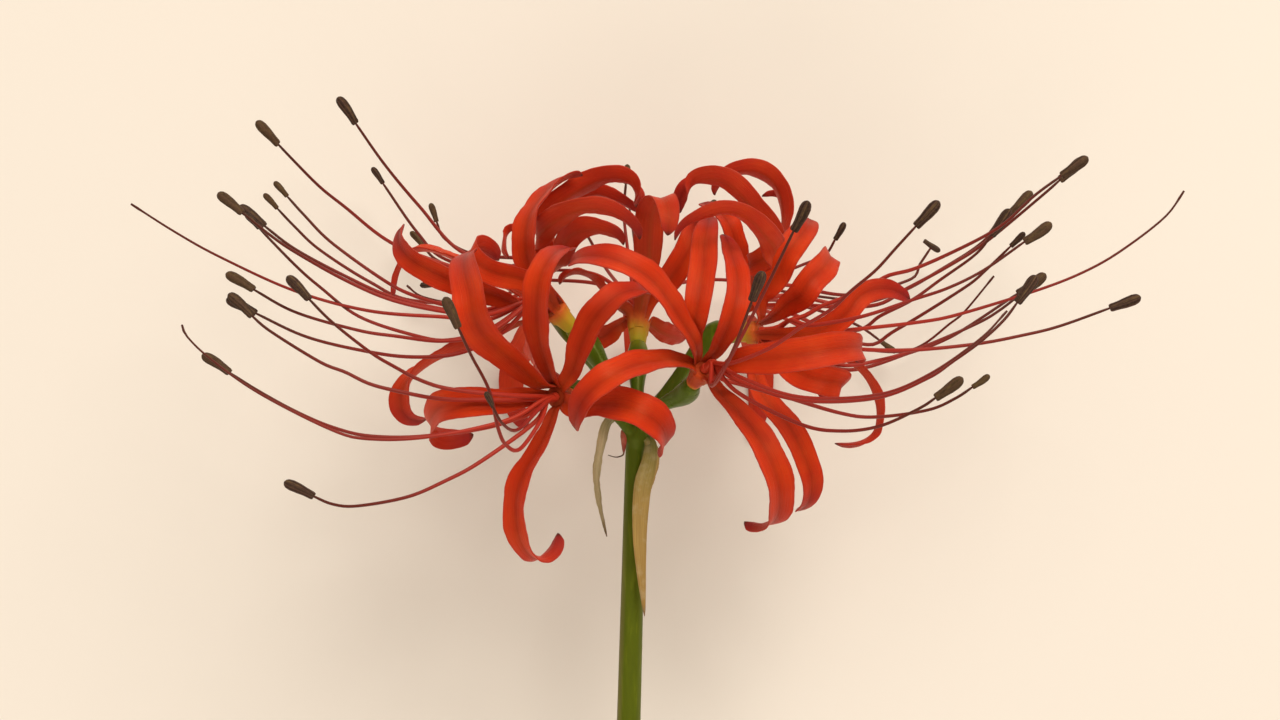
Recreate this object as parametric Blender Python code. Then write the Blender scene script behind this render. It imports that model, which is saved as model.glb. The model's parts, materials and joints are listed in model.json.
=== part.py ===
"""A cut red spider lily, laid down on its back with its umbel of seven florets.

Everything is drawn in the flower's own frame, in millimetres: the pedicels leave the scape at
the origin, +Y runs up the scape, +X is the flower's right and +Z faces whoever looks down on it.
The finished flower is then tilted on to the surface that it lies on, in metres, +Z up.
"""

import math

import bmesh
import bpy
import numpy as np
from mathutils import Matrix, Vector

MM = 0.001

# Driving sizes, in millimetres
SCAPE_LENGTH = 250.0
SCAPE_RADIUS_CUT = 2.9
SCAPE_RADIUS_TOP = 1.8
SCAPE_LEAN = -8.0
PEDICEL_RADIUS = 1.3
OVARY_RADIUS = 2.3
TUBE_LENGTH = 5.0
TUBE_RADIUS_LOW = 1.6
TUBE_RADIUS_MOUTH = 2.6
TEPAL_WIDTH = 5.9
TEPAL_THICKNESS = 0.65
TEPAL_CHANNEL = 0.9
TEPAL_WAVE = 0.22
TEPAL_WAVES = 5.0
TEPAL_STATION_SPACING = 4.6
FILAMENT_RADIUS_ROOT = 0.52
FILAMENT_RADIUS_TIP = 0.32
FILAMENT_STATIONS = 10
ANTHER_LENGTH = 6.6
ANTHER_RADIUS = 1.15
BRACT_THICKNESS = 0.6
GAP = 0.3

# How the flower lies: the scape rises from its cut end, and the umbel rests on its lowest tepals
LYING_TILT = math.radians(8.5)
SETTLING = 0.12
BASE_HEIGHT = SCAPE_LENGTH * math.sin(LYING_TILT) + SCAPE_RADIUS_CUT * math.cos(LYING_TILT) - SETTLING

# Points are drawn as an eye sees them from this far above the flower, over this place on it, in
# millimetres. A point that is nearer to the eye is in truth nearer to that place than it looks.
EYE_DISTANCE = 960.0
EYE_OVER = (0.6, 15.0)

# Each floret: the centre of its mouth, the way it faces, and the points that its tepals' midribs,
# its six filaments and its style pass through, from the mouth outwards
FLORETS = {
    "front_left": {
        "mouth": (-16.2, 7.6, 16),
        "faces": (-0.5, -0.05, 0.86),
        "tepals": [
            {"rib": [(-17.6, 2, 19), (-20, -3, 21), (-23.3, -9, 22.5), (-24.3, -15, 22.5),
                     (-23.2, -21.6, 21), (-19.8, -25, 18), (-16.4, -22.8, 15), (-15.6, -19.6, 13.5)]},
            {"rib": [(-12, 5.8, 20), (-6, 6.2, 24), (0, 5, 26.5), (4.4, 2.2, 25), (5.8, -1, 21.5),
                     (4.4, -3.8, 18)], "width": 7.6},
            {"rib": [(-17.6, 12.4, 19.5), (-19.4, 18, 22), (-20, 23, 25), (-20, 27, 27),
                     (-19.6, 31, 28), (-18, 34.6, 27), (-15.6, 37, 23), (-12.8, 37.6, 18)], "width": 6},
            {"rib": [(-13.2, 12.2, 18.5), (-11.2, 18, 21), (-9.2, 22.4, 22), (-6.4, 26, 21),
                     (-3.2, 28.4, 19), (0.6, 29.2, 15), (2.8, 28.6, 12)], "width": 6.2},
            {"rib": [(-19.6, 10.4, 21), (-24, 14, 26), (-28, 17.4, 31), (-31.2, 20.6, 36),
                     (-33, 24.4, 39), (-33.4, 28.2, 38.5), (-34.4, 32, 35.5), (-34.6, 35.4, 30.5),
                     (-32.6, 37, 25)], "width": 7},
            {"rib": [(-22, 7.4, 19.5), (-27, 6.6, 23), (-32, 6.4, 25.5), (-36.6, 6.2, 25),
                     (-40, 5, 21.5), (-41.4, 2, 17.5), (-39.4, -0.4, 15), (-35.4, -0.6, 13.5),
                     (-32.6, 0, 13)], "width": 6.4},
        ],
        "filaments": [
            ("large", [(-20.4, 2.6, 23), (-31.4, -5.4, 29), (-38.4, -9.2, 32), (-46, -12.4, 34),
                       (-56, -14.2, 35), (-61, -13.8, 34), (-65.2, -12, 33)]),
            ("large", [(-27.4, 2.2, 21), (-42, -0.2, 26), (-53.4, -0.2, 28), (-61, 1.6, 28),
                       (-68.4, 4.8, 27), (-76, 9, 26), (-82, 12.8, 25)]),
            ("large", [(-19.2, 3, 25), (-23.4, -2.8, 31), (-26.2, -2, 35), (-27.8, 1.4, 39),
                       (-29.6, 9, 45), (-33.2, 16, 49), (-36, 22, 51)]),
            ("small", [(-19.8, 5, 27), (-24, 1, 36), (-27, 2.4, 43), (-29, 6, 47)]),
            ("large", [(-26, 8, 27), (-37.4, 9.2, 31), (-43.4, 11, 31), (-48.4, 13.6, 30),
                       (-53.4, 16.6, 28), (-61, 22.6, 25), (-66, 27.6, 23)]),
            ("large", [(-27, 6.8, 24), (-39, 7.2, 28), (-47, 8.6, 30), (-53.4, 10.2, 31),
                       (-58.4, 12.6, 31), (-63.4, 14.6, 31), (-73.4, 20.8, 29), (-77.4, 24.2, 28)]),
        ],
        "style": [(-27.4, 2.6, 25), (-42, -0.4, 31), (-53.4, -0.8, 34), (-61, 1, 35), (-76, 8.6, 34),
                  (-86, 15.8, 33), (-90.2, 20, 32), (-91, 22, 31)],
    },
    "front_right": {
        "mouth": (13.4, 13, 17),
        "faces": (0.4, 0.5, 0.77),
        "tepals": [
            {"rib": [(8.6, 15.2, 21), (1, 14.4, 28), (-5, 12, 33), (-9.6, 8.6, 33), (-12, 4.6, 29.5),
                     (-12.6, 1, 25)], "width": 6.2},
            {"rib": [(11.4, 18.4, 20.5), (9.2, 22.4, 24.5), (6.6, 26.4, 28.5), (4, 30, 31),
                     (0.6, 32.8, 33), (-3.4, 34.8, 33.5), (-7.4, 35.8, 32.5), (-11.4, 35.6, 30),
                     (-14, 34.2, 27)], "width": 6.4},
            {"rib": [(11.6, 19.6, 20), (12, 25, 22), (12.8, 31, 20), (13.8, 37, 15), (14.4, 41.4, 10),
                     (14.4, 44, 5)], "width": 5.4},
            {"rib": [(17, 19, 21), (18.8, 23, 24.5), (20, 27.4, 24), (20, 32.4, 20), (18.4, 37, 15),
                     (16.8, 40.6, 10.5)], "width": 5.2},
            {"rib": [(19.4, 14.6, 23), (28, 15.4, 27), (36, 16.6, 27.5), (42, 17.6, 24), (45, 17.2, 19),
                     (44, 14.6, 15.5)], "width": 6.6},
            {"rib": [(16.4, 8.6, 20.5), (21.6, 3.2, 24), (26.2, -3.8, 27), (28.5, -10.6, 26),
                     (28, -16.6, 21), (24.6, -18.4, 17), (21.4, -17.6, 14.5)], "width": 6.6},
        ],
        "filaments": [
            ("large", [(15.2, 10.4, 25), (17.8, 14, 33), (21.6, 21, 40), (26.6, 31, 46),
                       (31.6, 41.4, 50)]),
            ("large", [(14.8, 10, 28), (16.8, 12, 38), (19.8, 18.4, 46), (23.2, 27.4, 51)]),
            ("large", [(19, 14.4, 29), (26.6, 17.4, 35), (32.6, 21.4, 39), (38.6, 25, 41), (43, 29, 42),
                       (47.8, 33, 43), (51.8, 37.4, 43), (56.2, 42.2, 43)]),
            ("large", [(20, 8.6, 27), (32.6, 2.2, 34), (40.6, 0.8, 38), (48.6, 1.8, 41),
                       (56.6, 5.4, 43), (60.2, 7.8, 44)]),
            ("small", [(20, 10.6, 22), (28.6, 8, 24), (40.6, 4.4, 27), (47.8, 3.6, 28), (58.2, 5, 29),
                       (63.8, 7.4, 29), (67.4, 9.8, 29)]),
            ("large", [(20, 11, 26), (32.6, 7, 32), (47.8, 7.4, 36), (58.2, 11.4, 36), (63, 14.6, 35),
                       (68.6, 18.6, 34), (73.4, 23, 32), (76.4, 27, 31)]),
        ],
        "style": [(21, 11.4, 29), (32.6, 7.6, 36), (47.8, 8, 40), (58.2, 12, 40), (68.6, 19.2, 38),
                  (74, 24.8, 35)],
    },
    "left": {
        "mouth": (-16.4, 25, -1),
        "faces": (-0.66, 0.69, 0.3),
        "tepals": [
            {"rib": [(-19.4, 31, 0), (-21.8, 34.6, 2), (-22.4, 39, 3), (-21.6, 43.4, 2),
                     (-19.4, 47.2, 0), (-16.8, 50, -2), (-14, 51.6, -4), (-11, 51.8, -6)],
             "width": 6.2, "across": (0.72, 0.3, 0.6)},
            {"rib": [(-18.4, 28.4, 6.5), (-22.6, 31, 9.5), (-27, 32, 11), (-31, 33.6, 12.5),
                     (-33.6, 36.6, 11), (-31.4, 38, 6.5), (-28.8, 36.8, 2.5), (-27.8, 35, 0)], "width": 5},
            {"rib": [(-26, 27, 1), (-32.4, 29, 5), (-37.4, 31, 8), (-41.4, 32.8, 9), (-45.4, 35.2, 8),
                     (-47.6, 38, 5.5), (-47.6, 40.4, 3.5), (-46.8, 42.4, 2)], "width": 5.4},
            {"rib": [(-24.6, 29, -6), (-33, 33.6, -6), (-40, 37, -6), (-45.4, 36.8, -7),
                     (-48, 33, -8.5), (-48.8, 29.4, -9), (-49, 27.4, -10)], "width": 4.4},
            {"rib": [(-24, 22.4, 0), (-31.8, 18, 3), (-36.6, 17, 5), (-41.4, 14.8, 6),
                     (-45.4, 11.6, 5.5), (-47.2, 8, 4.5), (-47, 5, 3), (-45, 3, 1.5), (-41.8, 3, 0)],
             "width": 5.8, "across": (0.6, 0.5, 0.6)},
            {"rib": [(-20, 19.6, -5), (-21, 15.6, -10), (-19.4, 12.6, -15), (-15.4, 11.6, -19)]},
        ],
        "filaments": [
            ("large", [(-30, 24, 10), (-38, 24.6, 13), (-49, 27, 15), (-58.4, 31, 15),
                       (-68.4, 36.6, 13), (-73.4, 40, 12), (-79.4, 44.8, 10)]),
            ("large", [(-30, 24.4, 5), (-38, 25, 6), (-49, 27.6, 6), (-58.4, 31.8, 5), (-68.4, 37.2, 4),
                       (-75, 42.2, 3)]),
            ("small", [(-20.8, 27.2, 4.5), (-29, 21.4, 7), (-37.4, 19, 9), (-44, 19.8, 11),
                       (-55.4, 23.6, 12),
                       (-63.4, 29.6, 12), (-68.4, 34, 11), (-75.8, 41.6, 9)]),
            ("small", [(-30, 25, -1), (-37.4, 25.8, -2), (-44.4, 27.8, -3), (-50.4, 30.8, -4),
                       (-61, 38.4, -5), (-66.4, 43.8, -6), (-70.2, 48, -7)]),
            ("large", [(-20.6, 27.4, 6), (-29, 20.8, 11), (-38.4, 18.8, 15), (-48.4, 19.8, 18),
                       (-56, 21, 19),
                       (-68.4, 24.6, 18), (-77.2, 29.4, 16)]),
            ("large", [(-20.6, 27, 5), (-27, 20.4, 8), (-35.4, 16.4, 10), (-44.4, 15.6, 12),
                       (-53.4, 16.6, 12),
                       (-66, 19.6, 11), (-76.8, 24.6, 10)]),
        ],
        "style": [(-30, 23, 7), (-38.4, 23.6, 9), (-53.4, 24.8, 12), (-68.4, 28.8, 12),
                  (-83.4, 35.6, 9), (-92.4, 40.6, 7), (-101.2, 46.2, 5)],
    },
    "back_left": {
        "mouth": (-20.4, 29.6, -17),
        "faces": (-0.5, 0.6, -0.62),
        "tepals": [
            {"rib": [(-17.4, 36, -13), (-18.6, 41, -10.5), (-17.8, 45, -9), (-14.6, 47.6, -8),
                     (-11.4, 49.8, -7.5), (-7.4, 51.6, -7.5), (-3.4, 51.8, -8), (-0.8, 50.4, -9),
                     (0.4, 47.8, -10.5), (0, 45.4, -12)], "width": 5.8, "across": (-0.3, 0.6, 0.74)},
            {"rib": [(-18.4, 36, -9), (-19.6, 39.4, -3), (-18, 42, 2), (-15, 44, 6), (-11.4, 45.4, 8),
                     (-7.4, 45.6, 8.5), (-3.4, 44.2, 7.5), (-0.6, 42, 6), (0.8, 39.2, 4.5)],
             "width": 5.4, "across": (0, 0.6, 0.8)},
            {"rib": [(-15.6, 36, -10), (-13.8, 39.4, -5), (-11.4, 41.2, -1), (-8.6, 41.6, 1),
                     (-5.6, 41, 2), (-3.4, 39.8, 2), (-2.4, 38, 2)], "width": 5, "across": (0, 0.7, 0.7)},
            {"rib": [(-20, 36, -20), (-22.6, 40, -21), (-24.6, 41.6, -21), (-26.4, 40.4, -21),
                     (-26.8, 38.6, -20), (-26.6, 36.6, -19), (-25.8, 35, -18.5)], "width": 3.2},
            {"rib": [(-17, 26, -20), (-20, 22, -30), (-23, 17, -38), (-25, 11, -43), (-24, 5, -42),
                     (-22, 1, -39)], "rests": True},
            {"rib": [(-15.6, 37, -18), (-14.6, 42.6, -17), (-12.4, 46.6, -16), (-9.6, 48.4, -15),
                     (-7.2, 48.6, -14.5), (-4.4, 47.6, -14.5), (-1.6, 46.2, -15), (0, 44.8, -16)],
             "width": 4.6, "across": (0, 0.6, 0.8)},
        ],
        "filaments": [
            ("large", [(-24, 30, -20), (-38, 34, -20), (-49.4, 38.6, -18), (-58.4, 45.6, -15),
                       (-63.4, 49.6, -13), (-68.4, 54.6, -10), (-72.2, 58.6, -8)]),
            ("large", [(-22, 33, -23), (-35, 36.6, -27), (-43.4, 45.6, -27), (-50.4, 54, -25),
                       (-56.6, 62.8, -23)]),
            ("small", [(-23, 31, -29), (-38, 35, -35), (-44, 40.6, -36), (-51, 50.6, -36)]),
            ("small", [(-26, 27, -22), (-44.4, 26.8, -22), (-53.4, 30.6, -21), (-63.4, 37, -19),
                       (-68.4, 41.6, -18), (-72.2, 45.6, -17)]),
            ("small", [(-22, 34, -30), (-34, 33, -37), (-40, 35, -38), (-43, 38, -38)]),
            ("small", [(-20, 35, -26), (-32, 36, -34), (-38.4, 39.2, -36), (-40.2, 43, -36)]),
        ],
        "style": [(-24, 29, -30), (-34, 26.4, -36), (-42, 27.4, -38), (-46, 30, -38)],
    },
    "back": {
        "mouth": (0.3, 22.6, -12),
        "faces": (0.02, 0.85, -0.52),
        "tepals": [
            {"rib": [(0.8, 29, -9), (2.2, 34, -6), (2.4, 39, -2), (2.8, 44, 2), (4, 47.2, 6),
                     (5.6, 47, 9.5), (6.4, 43.6, 12), (6.2, 39.8, 12.5)], "width": 6},
            {"rib": [(-3.8, 22, -12.4), (-6.2, 20, -13.6), (-8.6, 18.8, -16), (-10.4, 18.4, -20)],
             "width": 4.4, "across": (-0.2, 1, 0.2)},
            {"rib": [(-4, 26.8, -10), (-6.8, 29.4, -9), (-9, 31.8, -8), (-12, 32.8, -7),
                     (-14.6, 32, -7), (-15.8, 30.2, -7)], "width": 5.4},
            {"rib": [(3, 28, -11), (6.4, 31, -9), (9.2, 35, -8), (11.2, 39.4, -9), (12.4, 43, -12),
                     (12.8, 45, -15)], "width": 5.4, "across": (1, -0.5, 0.3)},
            {"rib": [(3.2, 22.2, -14), (5.4, 20.6, -16), (7.6, 19.8, -19), (9.4, 19.4, -23)],
             "width": 4.4, "across": (0.4, 1, 0.2)},
            {"rib": [(-1, 27, -21), (-1, 26, -30), (-1, 22, -37), (-1, 16, -41), (-1, 11, -41.6)],
             "width": 3.6},
        ],
        "filaments": [
            ("small", [(-1.6, 35, -20), (-2.6, 44, -26), (-2.2, 50.6, -27)]),
            ("small", [(-8, 32, -20), (-18, 33, -25), (-24, 32.6, -26), (-27.6, 32, -26)]),
            ("small", [(-7, 30, -28), (-18, 31, -36), (-30, 31, -40), (-40, 30, -39)]),
            ("small", [(-6, 33, -30), (-10, 40, -37), (-13, 43.6, -39)]),
            ("small", [(7, 30, -29), (18, 31, -38), (30, 28.6, -38), (42, 27, -38)]),
            ("small", [(6, 34, -30), (10, 41, -37), (13.4, 44.6, -39)]),
        ],
        "style": [(0, 34, -30), (-1, 42, -37), (-1.6, 46, -39)],
    },
    "back_right": {
        "mouth": (20.2, 23.4, -11),
        "faces": (0.5, 0.58, -0.64),
        "tepals": [
            {"rib": [(27.6, 36, -9.5), (29.2, 40, -9), (29.6, 44, -8), (29.2, 47.6, -7),
                     (27.8, 50.6, -6), (25, 52.8, -5.5), (21.6, 53.4, -5), (18.6, 52.6, -5.5),
                     (16.2, 50.6, -6.5), (15.2, 48, -8)], "width": 5, "across": (0.15, 0.7, 0.7)},
            {"rib": [(22.8, 32.4, -5), (27, 37.6, 0), (26.4, 41, 3), (24.4, 44.2, 5.5), (22.2, 47, 7),
                     (20, 49.4, 8), (17.4, 51.2, 8), (14.6, 51.6, 7), (11.8, 51, 5), (9.6, 49.2, 3),
                     (8.4, 46.6, 1), (8.4, 44.2, 0)], "width": 5.6, "across": (0.6, 0.4, 0.7)},
            {"rib": [(22.2, 31.6, -1), (26.4, 34.6, 6), (27.4, 37.6, 12), (26, 40, 16),
                     (23.6, 42.8, 18), (20.8, 44.6, 19.5), (17.6, 45.2, 20), (14.4, 44.6, 20),
                     (11.4, 43.4, 19.5), (8.8, 41.8, 18.5), (7.2, 39, 17)],
             "width": 5, "across": (0.3, 0.55, 0.77)},
            {"rib": [(20.4, 33, -8), (19.8, 38, -5), (18.6, 42, -4), (16, 45, -6), (12.6, 46.6, -10)],
             "width": 5},
            {"rib": [(20.6, 24, -19), (22.6, 21, -30), (24, 16, -38), (24.6, 10, -43), (24, 4, -42),
                     (23, 0, -39)], "rests": True},
            {"rib": [(22.6, 31.6, -14), (27.4, 36, -15.5), (29.8, 40, -15), (30.2, 44, -14),
                     (29.4, 47.2, -13), (27.4, 48.4, -12.4), (24.8, 48, -12)],
             "width": 4, "across": (0, 0.4, 0.9)},
        ],
        "filaments": [
            ("small", [(26, 31, -20), (33, 34, -26), (37.6, 36, -29), (39.8, 39.4, -29)]),
            ("large", [(30, 26, -11), (46.6, 25.8, -9), (53.8, 29.2, -10), (63, 34.2, -11),
                       (69.8, 38.6, -12), (81.4, 48.2, -12), (85, 51.4, -12)]),
            ("large", [(30, 28, -18), (42, 26, -20), (52.6, 28.6, -21), (60.6, 33, -22),
                       (68.6, 38.2, -24), (75, 44.6, -25)]),
            ("swung", [(28, 30, -22), (42, 28, -31), (54.4, 31, -35), (56.6, 34.2, -36),
                       (59, 37.8, -37)]),
            ("small", [(29, 25, -20), (45, 18.2, -26), (51.8, 21, -27), (65.4, 29.4, -27),
                       (69.8, 33, -27), (75, 38, -26)]),
            ("small", [(27, 27, -27), (36, 25, -35), (44, 22, -37), (49, 18.6, -37)]),
        ],
        "style": [(28, 24, -25), (40, 18.4, -33), (54, 16.8, -37), (63, 22.6, -37), (65.8, 25, -37),
                  (71.4, 31.8, -36)],
    },
    "right": {
        "mouth": (24.4, 20.6, 1),
        "faces": (0.9, 0.08, 0.4),
        "tepals": [
            {"rib": [(31, 18.6, 2), (36, 17.4, 3), (40.6, 16, 3.5), (44.2, 13.8, 3.5), (46.6, 11, 3),
                     (48.2, 7.4, 2), (48.6, 4, 1), (48, 0.6, 0), (45.8, -1.4, -0.5), (42.6, -2.2, -1),
                     (39.4, -2, -1.5)], "width": 4.2, "across": (0.25, 0.2, 0.95)},
            {"rib": [(28.8, 15.6, 5), (33, 12.2, 9), (37.6, 10.8, 10.5), (41, 10.2, 8.5),
                     (40, 8.6, 5.4), (36, 8.6, 3.4)], "width": 6},
            {"rib": [(25.4, 28.4, 3), (27, 32.2, 4), (29.4, 35.8, 4.4), (31.8, 38.8, 3.6),
                     (34, 41.6, 1), (34.8, 43.4, -3)], "width": 5.8},
            {"rib": [(28.6, 26.4, 1), (31.8, 29, 3.4), (34.8, 31.2, 3.4), (37.4, 33.6, 0.5),
                     (38.8, 35.8, -3.5), (38.4, 35.4, -8)], "width": 5.8},
            {"rib": [(30, 20.4, 6), (36, 20.6, 9), (41.6, 24, 10), (44.2, 27.4, 9), (47, 29, 7),
                     (50.2, 29.4, 4), (53, 28.2, 2), (54.8, 27, 1)], "width": 4.6},
            {"rib": [(23.6, 14.6, 4), (24.4, 9.4, 7), (27, 5.4, 9), (30, 2.4, 10.5), (32, -1, 11),
                     (33.8, -5, 11), (35, -9, 10), (34.4, -13.4, 7), (31.8, -15.6, 3)], "width": 5},
        ],
        "filaments": [
            ("large", [(33, 18.6, 6), (43.8, 17.2, 9), (55, 17, 10), (67.8, 18.2, 9), (77.4, 20, 8),
                       (84.6, 21.8, 7), (95.2, 25.6, 6)]),
            ("large", [(33, 21.6, 11), (44.6, 23.6, 16), (55, 27, 16), (62.2, 29.4, 16), (69.4, 33, 15),
                       (78, 39, 14)]),
            ("large", [(32, 24, 2), (41.8, 27.6, 3), (49.8, 31, 4), (60.6, 35.4, 4), (72.2, 41.4, 4),
                       (79.4, 47.8, 3), (85.4, 52.2, 2)]),
            ("large", [(33, 20.4, -2), (44.2, 21, -3), (48.6, 23.8, -4), (55, 27, -5), (60.6, 31, -6),
                       (67.8, 36.2, -6), (71.2, 40.4, -6)]),
            ("large", [(32, 17, -3), (42.2, 13, -5), (55, 16.6, -8), (60.6, 18.6, -9),
                       (65.8, 21.4, -10), (76.6, 28.6, -12)]),
            ("large", [(32, 17.4, 6), (40.6, 14, 9), (48.6, 15, 8), (56.6, 17.4, 5), (67.8, 22.2, 2),
                       (72.6, 25, 1), (77.2, 28.6, 0)]),
        ],
        "style": [(33, 20.2, 5), (44.2, 21.2, 7), (56.6, 22.6, 8), (64.6, 24.2, 8), (81.4, 29.4, 7),
                  (91, 33.4, 6), (98.2, 37.8, 5), (105.8, 43.8, 4), (109.4, 48.8, 3)],
    },
}

# The two papery bracts below the umbel, drawn like tepals from where they join the scape
BRACTS = {
    "spathe_bract_right": {
        "rib": [(2.7, -1.6, 2.3), (2.4, -5, 4.4), (1.2, -10, 5.3), (0.6, -17, 5.3), (0.7, -25, 5),
                (1.5, -36.4, 4.3)],
        "width": 3.5,
        "across": (1, 0.05, 0.1),
    },
    "spathe_bract_left": {
        "rib": [(-2.8, 0.2, 0.6), (-4.4, 1.8, 1.2), (-6, 1.4, 1.8), (-7.3, -2, 2), (-8.2, -8, 2),
                (-7.6, -14, 1), (-6.2, -20.4, 0)],
        "width": 2.2,
        "across": (0.8, -0.1, -0.6),
    },
}


def true_place(points):
    """Where points lie that are drawn as the eye sees them."""
    p = np.array(points, float)
    nearer = p[..., 2:] / EYE_DISTANCE
    p[..., :2] -= (p[..., :2] - EYE_OVER) * nearer
    return p


def unit(v):
    v = np.asarray(v, float)
    return v / max(np.linalg.norm(v), 1e-9)


def smooth_path(points, count):
    """count points, evenly spaced along a smooth curve through the given ones."""
    p = np.asarray(points, float)
    ends = np.vstack([2 * p[0] - p[1], p, 2 * p[-1] - p[-2]])
    fine = []
    for i in range(1, len(ends) - 2):
        a, b, c, d = ends[i - 1 : i + 3]
        for t in np.linspace(0, 1, 12, endpoint=False):
            fine.append(0.5 * (2 * b + (c - a) * t + (2 * a - 5 * b + 4 * c - d) * t**2
                               + (3 * b - a - 3 * c + d) * t**3))
    fine = np.array(fine + [p[-1]])
    return spread_evenly(fine, count)


def spread_evenly(path, count):
    along = np.r_[0, np.cumsum(np.linalg.norm(np.diff(path, axis=0), axis=1))]
    wanted = np.linspace(0, along[-1], count)
    return np.stack([np.interp(wanted, along, path[:, k]) for k in range(3)], axis=1)


def tangents(path):
    t = np.gradient(path, axis=0)
    return t / np.linalg.norm(t, axis=1)[:, None]


def turned(vectors, axes, angles):
    """Each vector turned about its own axis."""
    c = np.cos(angles)[:, None]
    s = np.sin(angles)[:, None]
    along = np.sum(vectors * axes, axis=1)[:, None]
    return vectors * c + np.cross(axes, vectors) * s + axes * along * (1 - c)


def blade_frame(path, twist, root_side, across):
    """Width and face directions of a blade that curls in one plane, its upper face outside the curl."""
    t = tangents(path)
    if across is None:
        _, spread, directions = np.linalg.svd(path - path.mean(0))
        across = directions[2] if spread[1] > 0.08 * spread[0] else root_side
    across = np.asarray(across, float)
    if np.sum(np.cross(across, t) * np.gradient(t, axis=0)) > 0:
        across = -across
    along = np.r_[0, np.cumsum(np.linalg.norm(np.diff(path, axis=0), axis=1))]
    q = np.clip((along - 2.0) / 12.0, 0, 1)[:, None]
    q = q * q * (3 - 2 * q)
    if root_side @ across < 0:
        root_side = -root_side
    w = (1 - q) * root_side + q * across
    w -= t * np.sum(w * t, axis=1)[:, None]
    w /= np.linalg.norm(w, axis=1)[:, None]
    s = np.linspace(0, 1, len(path))
    w = turned(w, t, np.radians(twist) * np.clip((s - 0.25) / 0.75, 0, 1))
    return w, np.cross(w, t)


class Organ:
    """One tepal, bract, filament or stalk while the flower is being arranged."""

    def __init__(self, node, floret, path, radius, fixed=False):
        self.node = node
        self.floret = floret
        self.path = path
        self.radius = radius
        self.fixed = fixed
        self.half_width = None
        self.anther = None
        self.reach = 0.0
        self.clearance = radius + GAP

    def as_blade(self, half_width, channel, twist, root_side, across):
        self.half_width = half_width
        self.channel = channel
        self.twist = twist
        self.root_side = root_side
        self.across = across
        self.turn_faces()

    def turn_faces(self):
        if self.half_width is not None:
            self.w, self.n = blade_frame(self.path, self.twist, self.root_side, self.across)

    def samples(self):
        """Points that stand for the organ's body, one row of them for each station."""
        if self.half_width is None:
            rows = self.path[:, None, :]
            if self.reach:
                rows = np.repeat(rows, 3, axis=1)
                outward = self.reach * unit(self.path[-1] - self.path[-2])
                rows[-1, 1:] += np.array([0.5 * outward, outward])
            return rows
        steps = np.linspace(-0.9, 0.9, 5)
        lift = self.channel * self.half_width / (0.5 * TEPAL_WIDTH)
        out = self.w[:, None, :] * (self.half_width[:, None] * steps)[:, :, None]
        up = self.n[:, None, :] * (lift[:, None] * np.abs(steps) - 0.5 * TEPAL_THICKNESS)[:, :, None]
        return self.path[:, None, :] + out + up


def tepal_half_width(s, width):
    """Narrow at its claw, widest at the middle, and drawn in to a short blunt point."""
    claw = 0.30 + 0.70 * np.sin(0.5 * np.pi * np.clip(s / 0.5, 0, 1)) ** 1.4
    tip = np.sqrt(1 - np.clip((s - 0.6) / 0.42, 0, 1) ** 2)
    return 0.5 * width * claw * tip


def bract_half_width(s, width):
    broad = np.clip(0.55 + 0.75 * np.sin(np.pi * s * 0.8), 0, 1)
    return 0.5 * width * broad * np.clip(1.06 - s**2.2, 0.1, 1)


def floret_organs(name, floret):
    """The tepals, filaments and style of one floret, before they are bent clear of the others."""
    mouth = true_place(floret["mouth"])
    axis = unit(floret["faces"])
    organs = []
    for tepal in floret["tepals"]:
        rib = true_place(tepal["rib"])
        first = rib[0] - mouth
        radial = unit(first - axis * (first @ axis))
        root = [mouth - 2.6 * axis + 1.6 * radial, mouth + 0.9 * axis + 2.2 * radial]
        path = smooth_path(np.vstack([root, rib]), 25)
        organ = Organ("perianth_" + name, name, path, 0.72)
        half_width = tepal_half_width(np.linspace(0, 1, 25), tepal.get("width", TEPAL_WIDTH))
        organ.as_blade(half_width, TEPAL_CHANNEL, tepal.get("twist", 0.0), np.cross(axis, radial),
                       tepal.get("across"))
        if tepal.get("rests"):
            organ.clearance = 0.45
        organs.append(organ)
    for anther, thread in floret["filaments"] + [(None, floret["style"])]:
        thread = true_place(thread)
        first = thread[0] - mouth
        radial = unit(first - axis * (first @ axis))
        start = 0.5 if anther else 0.0
        root = [mouth + 0.6 * axis + start * radial, mouth + 4.0 * axis + (start + 0.3) * radial]
        organ = Organ("stamens_" + name, name, smooth_path(np.vstack([root, thread]), 45), 0.85)
        organ.anther = anther
        organ.reach = {"large": ANTHER_LENGTH, "small": 0.62 * ANTHER_LENGTH}.get(anther, 0.0)
        organs.append(organ)
    return organs


def stalk_path(floret):
    """A pedicel's centre line, from the scape's head to the foot of the floret's tube."""
    mouth = true_place(floret["mouth"])
    axis = unit(floret["faces"])
    foot = mouth - TUBE_LENGTH * axis
    leaving = unit(unit(foot) + np.array([0, 0.3, 0]))
    through = [(0, -1.0, 0), leaving * 7, foot - 5.5 * axis + 0.5 * leaving, foot - 1.6 * axis]
    bend = smooth_path(through, 10)
    return np.vstack([bend, foot - 0.8 * axis, foot])


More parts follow.
